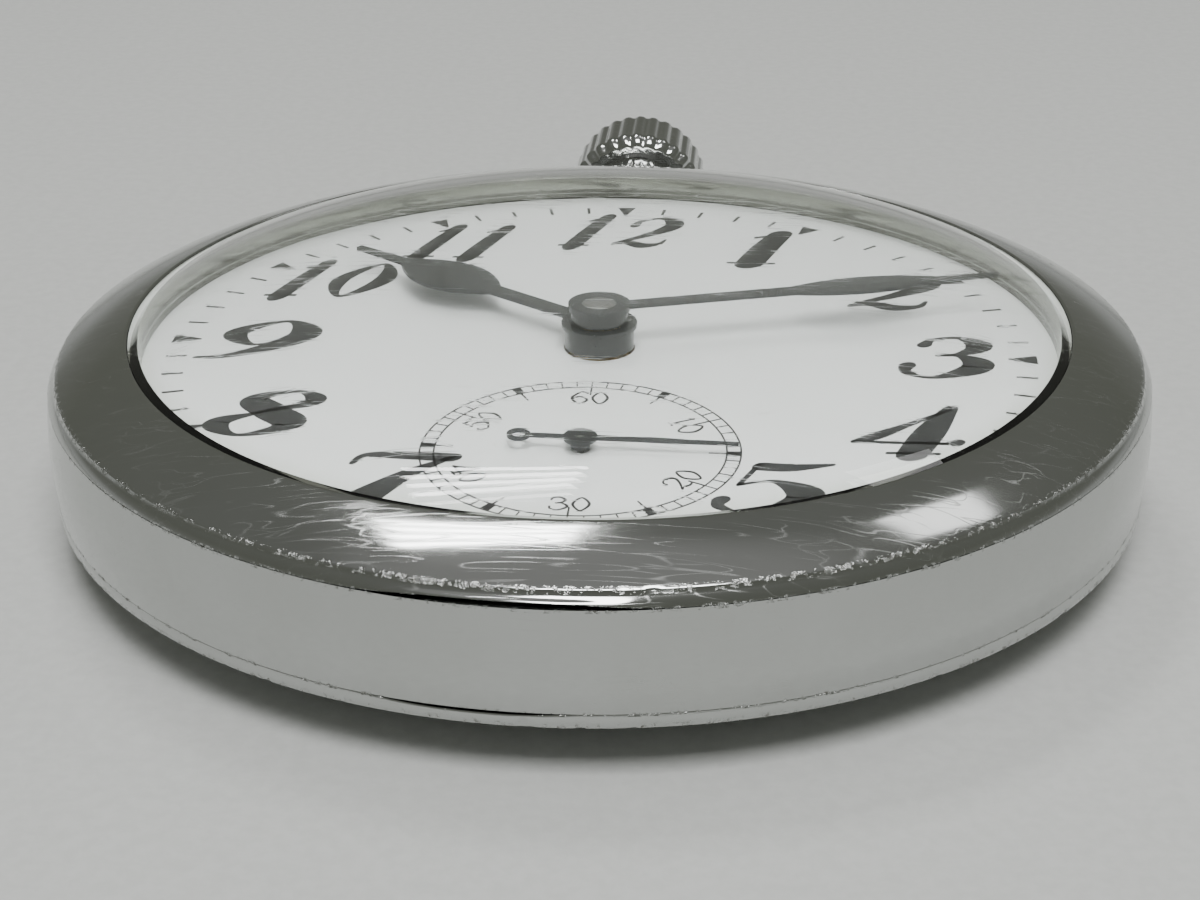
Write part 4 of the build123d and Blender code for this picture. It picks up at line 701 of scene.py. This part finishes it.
def pen_stroke(knots, closed):
    """The left and right sides of one pen stroke."""
    middle = smooth_through(knots, closed) if len(knots) > 2 else [Vector(k) for k in knots]
    count = len(middle)
    left, right = [], []
    for k, point in enumerate(middle):
        before = middle[(k - 1) % count] if closed else middle[max(k - 1, 0)]
        after = middle[(k + 1) % count] if closed else middle[min(k + 1, count - 1)]
        along = Vector((after.x - before.x, after.y - before.y)).normalized()
        half = max(point.z, THINNEST_PEN) / 2
        left.append((point.x - along.y * half, point.y + along.x * half))
        right.append((point.x + along.y * half, point.y - along.x * half))
    if not closed:
        for end, inward in ((0, 1), (count - 1, -1)):
            tip, before = middle[end], middle[end + inward]
            half = max(tip.z, THINNEST_PEN) / 2
            along = Vector((tip.x - before.x, tip.y - before.y)).normalized()
            cap_left, cap_right = [], []
            for step in (30, 60, 85):
                out = half * math.sin(math.radians(step))
                wide = half * math.cos(math.radians(step)) * inward
                base = (tip.x + along.x * out, tip.y + along.y * out)
                cap_left.append((base[0] + along.y * wide, base[1] - along.x * wide))
                cap_right.append((base[0] - along.y * wide, base[1] + along.x * wide))
            if end == 0:
                left, right = cap_left[::-1] + left, cap_right[::-1] + right
            else:
                left, right = left + cap_left, right + cap_right
    return left, right


class Printing:
    """A pad print gathered from pen strokes: thin closed solids just proud of the dial."""

    def __init__(self):
        self.vertices, self.faces = [], []

    def stroke(self, left, right, closed, place):
        count = len(left)
        first = len(self.vertices)
        for height in (print_high, print_low):
            for side in (left, right):
                self.vertices += [(*place(x, y), height) for x, y in side]
        tl, tr, bl, br = (first + k * count for k in range(4))
        for k in range(count if closed else count - 1):
            n = (k + 1) % count
            self.faces += [
                (tl + k, tl + n, tr + n, tr + k), (bl + k, br + k, br + n, bl + n),
                (tl + k, bl + k, bl + n, tl + n), (tr + k, tr + n, br + n, br + k),
            ]
        if not closed:
            last = count - 1
            self.faces += [(tl, tr, br, bl), (tl + last, bl + last, br + last, tr + last)]

    def number(self, text, centre, tall, widths, turn=0.0, lean=slant, light=None):
        """A number's digits, tall high and turned clockwise in degrees. light asks for one thin pen."""
        advance = sum(widths[d] for d in text)
        start = -advance / 2
        c, s = math.cos(math.radians(turn)), math.sin(math.radians(turn))
        for digit in text:
            squeeze = widths[digit] / DIGIT_WIDTH
            for knots in DIGITS[digit]:
                closed = digit in CLOSED_DIGITS
                base, share = (0.012, 1.15) if light is None else (light, 0.18)
                pen = [(x, y, base + share * w) for x, y, w in knots]
                left, right = pen_stroke(pen, closed)

                def place(x, y, offset=start, stretch=squeeze):
                    across = (offset + x * stretch + lean * (y - 0.5)) * tall
                    up = (y - 0.5) * tall
                    return centre[0] + across * c + up * s, centre[1] - across * s + up * c

                self.stroke(left, right, closed, place)
            start += widths[digit]

    def piece(self, name):
        mesh = millimetre_mesh(name, self.vertices, self.faces)
        return finished(mesh, name, "case", black_ink, (), 30)


def dial_place(radius, clock_degrees, centre_y=0.0):
    angle = math.radians(clock_degrees)
    return radius * math.sin(angle), centre_y + radius * math.cos(angle)


def hour_numerals():
    """Bold upright numerals on one circle. The seconds dial takes the place of the six."""
    single = {d: 0.86 for d in "0123456789"}
    paired = {d: 0.62 for d in "0123456789"} | {"1": 0.56}
    printing = Printing()
    for hour in (1, 2, 3, 4, 5, 7, 8, 9, 10, 11, 12):
        text = str(hour)
        widths = single if len(text) == 1 else paired
        printing.number(text, dial_place(numeral_circle, hour * 30), numeral_height, widths)
    return printing.piece("hour_numerals")


def seconds_numerals():
    """Light numerals round the seconds dial, which turn to stay readable at the foot."""
    widths = {d: 0.78 for d in "0123456789"} | {"1": 0.5}
    printing = Printing()
    for seconds, turn in ((60, 0), (10, 60), (20, -60), (30, 0), (40, 60), (50, -60)):
        centre = dial_place(seconds_numeral_circle, seconds * 6, seconds_y)
        printing.number(str(seconds), centre, seconds_numeral_height, widths, turn, 0.0, 0.07)
    return printing.piece("seconds_numerals")


def marks_tree():
    """Geometry Nodes: tapered marks standing on a circle, every so many of them picked or passed over."""
    tree = bpy.data.node_groups.new("dial_marks", "GeometryNodeTree")
    face = tree.interface
    for name, kind in (
        ("Geometry", "Geometry"), ("Count", "Int"), ("Every", "Int"), ("Picked", "Bool"), ("Radius", "Float"),
        ("Length", "Float"), ("Outer Width", "Float"), ("Inner Width", "Float"), ("Thickness", "Float"),
        ("Centre", "Vector"), ("Finish", "Material"),
    ):
        face.new_socket(name, in_out="INPUT", socket_type="NodeSocket" + kind)
    face.new_socket("Geometry", in_out="OUTPUT", socket_type="NodeSocketGeometry")
    add, link = tree.nodes.new, tree.links.new
    given, out = add("NodeGroupInput"), add("NodeGroupOutput")
    calc = calculator(tree)
    block = add("GeometryNodeMeshCube")
    size = add("ShaderNodeCombineXYZ")
    size.inputs[0].default_value = 1.0
    link(given.outputs["Length"], size.inputs[1])
    link(given.outputs["Thickness"], size.inputs[2])
    link(size.outputs[0], block.inputs["Size"])
    where = add("GeometryNodeInputPosition")
    apart = add("ShaderNodeSeparateXYZ")
    link(where.outputs[0], apart.inputs[0])
    share = calc("ADD", calc("DIVIDE", apart.outputs[1], given.outputs["Length"]), 0.5)
    inner_width = given.outputs["Inner Width"]
    widening = calc("MULTIPLY", share, calc("SUBTRACT", given.outputs["Outer Width"], inner_width))
    width = calc("ADD", widening, inner_width)
    shaped = add("ShaderNodeCombineXYZ")
    link(calc("MULTIPLY", apart.outputs[0], width), shaped.inputs[0])
    link(apart.outputs[1], shaped.inputs[1])
    link(apart.outputs[2], shaped.inputs[2])
    taper = add("GeometryNodeSetPosition")
    link(block.outputs["Mesh"], taper.inputs["Geometry"])
    link(shaped.outputs[0], taper.inputs["Position"])
    ring = add("GeometryNodeMeshCircle")
    link(given.outputs["Count"], ring.inputs["Vertices"])
    link(given.outputs["Radius"], ring.inputs["Radius"])
    index = add("GeometryNodeInputIndex")
    place = calc("MODULO", index.outputs[0], given.outputs["Every"])
    chosen = calc("COMPARE", place, 0.0)
    matches = calc("COMPARE", chosen, given.outputs["Picked"])
    turn = add("ShaderNodeCombineXYZ")
    step = calc("DIVIDE", 2 * math.pi, given.outputs["Count"])
    link(calc("SUBTRACT", calc("MULTIPLY", index.outputs[0], step), math.pi / 2), turn.inputs[2])
    stand = add("GeometryNodeInstanceOnPoints")
    link(ring.outputs["Mesh"], stand.inputs["Points"])
    link(matches, stand.inputs["Selection"])
    link(taper.outputs[0], stand.inputs["Instance"])
    link(turn.outputs[0], stand.inputs["Rotation"])
    shift = add("GeometryNodeTransform")
    link(stand.outputs[0], shift.inputs["Geometry"])
    link(given.outputs["Centre"], shift.inputs["Translation"])
    real = add("GeometryNodeRealizeInstances")
    paint = add("GeometryNodeSetMaterial")
    link(shift.outputs[0], real.inputs[0])
    link(real.outputs[0], paint.inputs["Geometry"])
    link(given.outputs["Finish"], paint.inputs["Material"])
    link(paint.outputs[0], out.inputs[0])
    return tree


dial_marks = marks_tree()


def ring_of_marks(name, radius, length, outer, inner, every, picked, centre_y=0.0):
    """Sixty places round a circle, of which every so many are picked or passed over."""
    mesh = grown(
        dial_marks, name, bpy.data.meshes.new(name), Count=60, Every=every, Picked=picked, Radius=radius * MM,
        Length=length * MM, Outer_Width=outer, Inner_Width=inner, Thickness=(print_high - print_low) * MM,
        Centre=(0, centre_y * MM, (print_high + print_low) / 2 * MM), Finish=black_ink,
    )
    return finished(mesh, name, "case", black_ink, (), 30)


def minute_track():
    ring_of_marks("minute_ticks", minute_circle, 0.95, 0.17 * MM, 0.14 * MM, 5, False)
    ring_of_marks("five_minute_wedges", minute_circle - 0.1, 1.3, 0.95 * MM, 0.12 * MM, 5, True)


def seconds_track():
    outer, inner, rail = seconds_outer, seconds_inner, 0.075
    for name, radius in (("seconds_outer_rail", outer), ("seconds_inner_rail", inner)):
        within = radius - rail
        profile = [(radius, print_low), (radius, print_high), (within, print_high), (within, print_low)]
        vertices, faces = turned(profile, 240)
        placed = [(x, y + seconds_y, z) for x, y, z in vertices]
        finished(millimetre_mesh(name, placed, faces), name, "case", black_ink, (), 30)
    middle = (outer + inner - rail) / 2
    span = outer - inner
    ring_of_marks("seconds_ticks", middle, span, 0.07 * MM, 0.06 * MM, 1, True, seconds_y)
    ring_of_marks("five_second_ticks", inner - 0.4, 0.8, 0.09 * MM, 0.07 * MM, 5, True, seconds_y)
    ring_of_marks("ten_second_blocks", middle, span, 0.42 * MM, 0.36 * MM, 10, True, seconds_y)


# ---------------------------------------------------------------- camera, light and table
def product_camera():
    """A close three-quarter view from the six o'clock side, a little to the right."""
    lens = bpy.data.cameras.new("watch_camera")
    lens.lens = 66
    lens.sensor_width = 36
    lens.clip_start = 0.001
    camera = bpy.data.objects.new("watch_camera", lens)
    bpy.context.scene.collection.objects.link(camera)
    camera.location = (0.00728, -0.0941, 0.0462)
    aim = Vector((0, 0, 0.0021)) - camera.location
    look = aim.to_track_quat("-Z", "Y").to_matrix().to_4x4()
    roll = -0.29
    camera.rotation_euler = look.to_euler()
    camera.rotation_euler.rotate_axis("Z", math.radians(roll))
    bpy.context.scene.camera = camera


def softbox(name, place, target, size, power, colour=(1.0, 1.0, 1.0)):
    lamp = bpy.data.lights.new(name, "AREA")
    lamp.shape = "RECTANGLE"
    lamp.size, lamp.size_y = size
    lamp.energy = power
    lamp.color = colour
    holder = bpy.data.objects.new(name, lamp)
    holder.location = place
    holder.rotation_euler = (Vector(target) - Vector(place)).to_track_quat("-Z", "Y").to_euler()
    bpy.context.scene.collection.objects.link(holder)
    return holder


def studio():
    """A dim room, with a soft lamp high in front and a bank of strip lamps behind the watch."""
    world = bpy.data.worlds.new("studio")
    bpy.context.scene.world = world
    world.use_nodes = True
    tree = world.node_tree
    tree.nodes.clear()
    out = tree.nodes.new("ShaderNodeOutputWorld")
    back = tree.nodes.new("ShaderNodeBackground")
    coordinates = tree.nodes.new("ShaderNodeTexCoord")
    apart = tree.nodes.new("ShaderNodeSeparateXYZ")
    ramp = tree.nodes.new("ShaderNodeValToRGB")
    tree.links.new(coordinates.outputs["Generated"], apart.inputs[0])
    rise = tree.nodes.new("ShaderNodeMath")
    rise.operation = "MULTIPLY_ADD"
    rise.inputs[1].default_value = 0.5
    rise.inputs[2].default_value = 0.5
    tree.links.new(apart.outputs[2], rise.inputs[0])
    tree.links.new(rise.outputs[0], ramp.inputs[0])
    tree.links.new(ramp.outputs[0], back.inputs[0])
    tree.links.new(back.outputs[0], out.inputs[0])
    stops = [
        (0.0, (0.42, 0.43, 0.42)), (0.52, (0.42, 0.43, 0.415)), (0.58, (0.21, 0.215, 0.195)),
        (0.66, (0.17, 0.176, 0.152)), (0.93, (0.20, 0.205, 0.19)), (0.97, (0.34, 0.34, 0.33)),
    ]
    while len(ramp.color_ramp.elements) < len(stops):
        ramp.color_ramp.elements.new(0.5)
    for element, (position, colour) in zip(ramp.color_ramp.elements, stops):
        element.position = position
        element.color = (*colour, 1.0)
    back.inputs["Strength"].default_value = 1.0
    for k in range(4):
        across = (k - 1.5) * 0.03
        softbox(f"strip_{k + 1}", (-0.09, 0.20 + across, 0.42), (0, 0, 0), (0.13, 0.010), 0.12)
    softbox("front_key", (0.05, -0.24, 0.50), (0, 0, 0), (0.26, 0.26), 2.9)
    softbox("back_right", (0.26, 0.24, 0.46), (0, 0, 0), (0.12, 0.10), 0.11)


def table():
    side = 0.7
    mesh = bpy.data.meshes.new("table")
    corners = [(-side, -side, 0), (side, -side, 0), (side, side, 0), (-side, side, 0)]
    mesh.from_pydata(corners, [], [(0, 1, 2, 3)])
    mesh.materials.append(table_cloth())
    top = bpy.data.objects.new("table", mesh)
    bpy.context.scene.collection.objects.link(top)


product_camera()
finish_kept_nodes()
bezel_ring()
snap_back()
crystal()
winding_crown()
hour_numerals()
minute_track()
seconds_track()
seconds_numerals()
studio()
table()
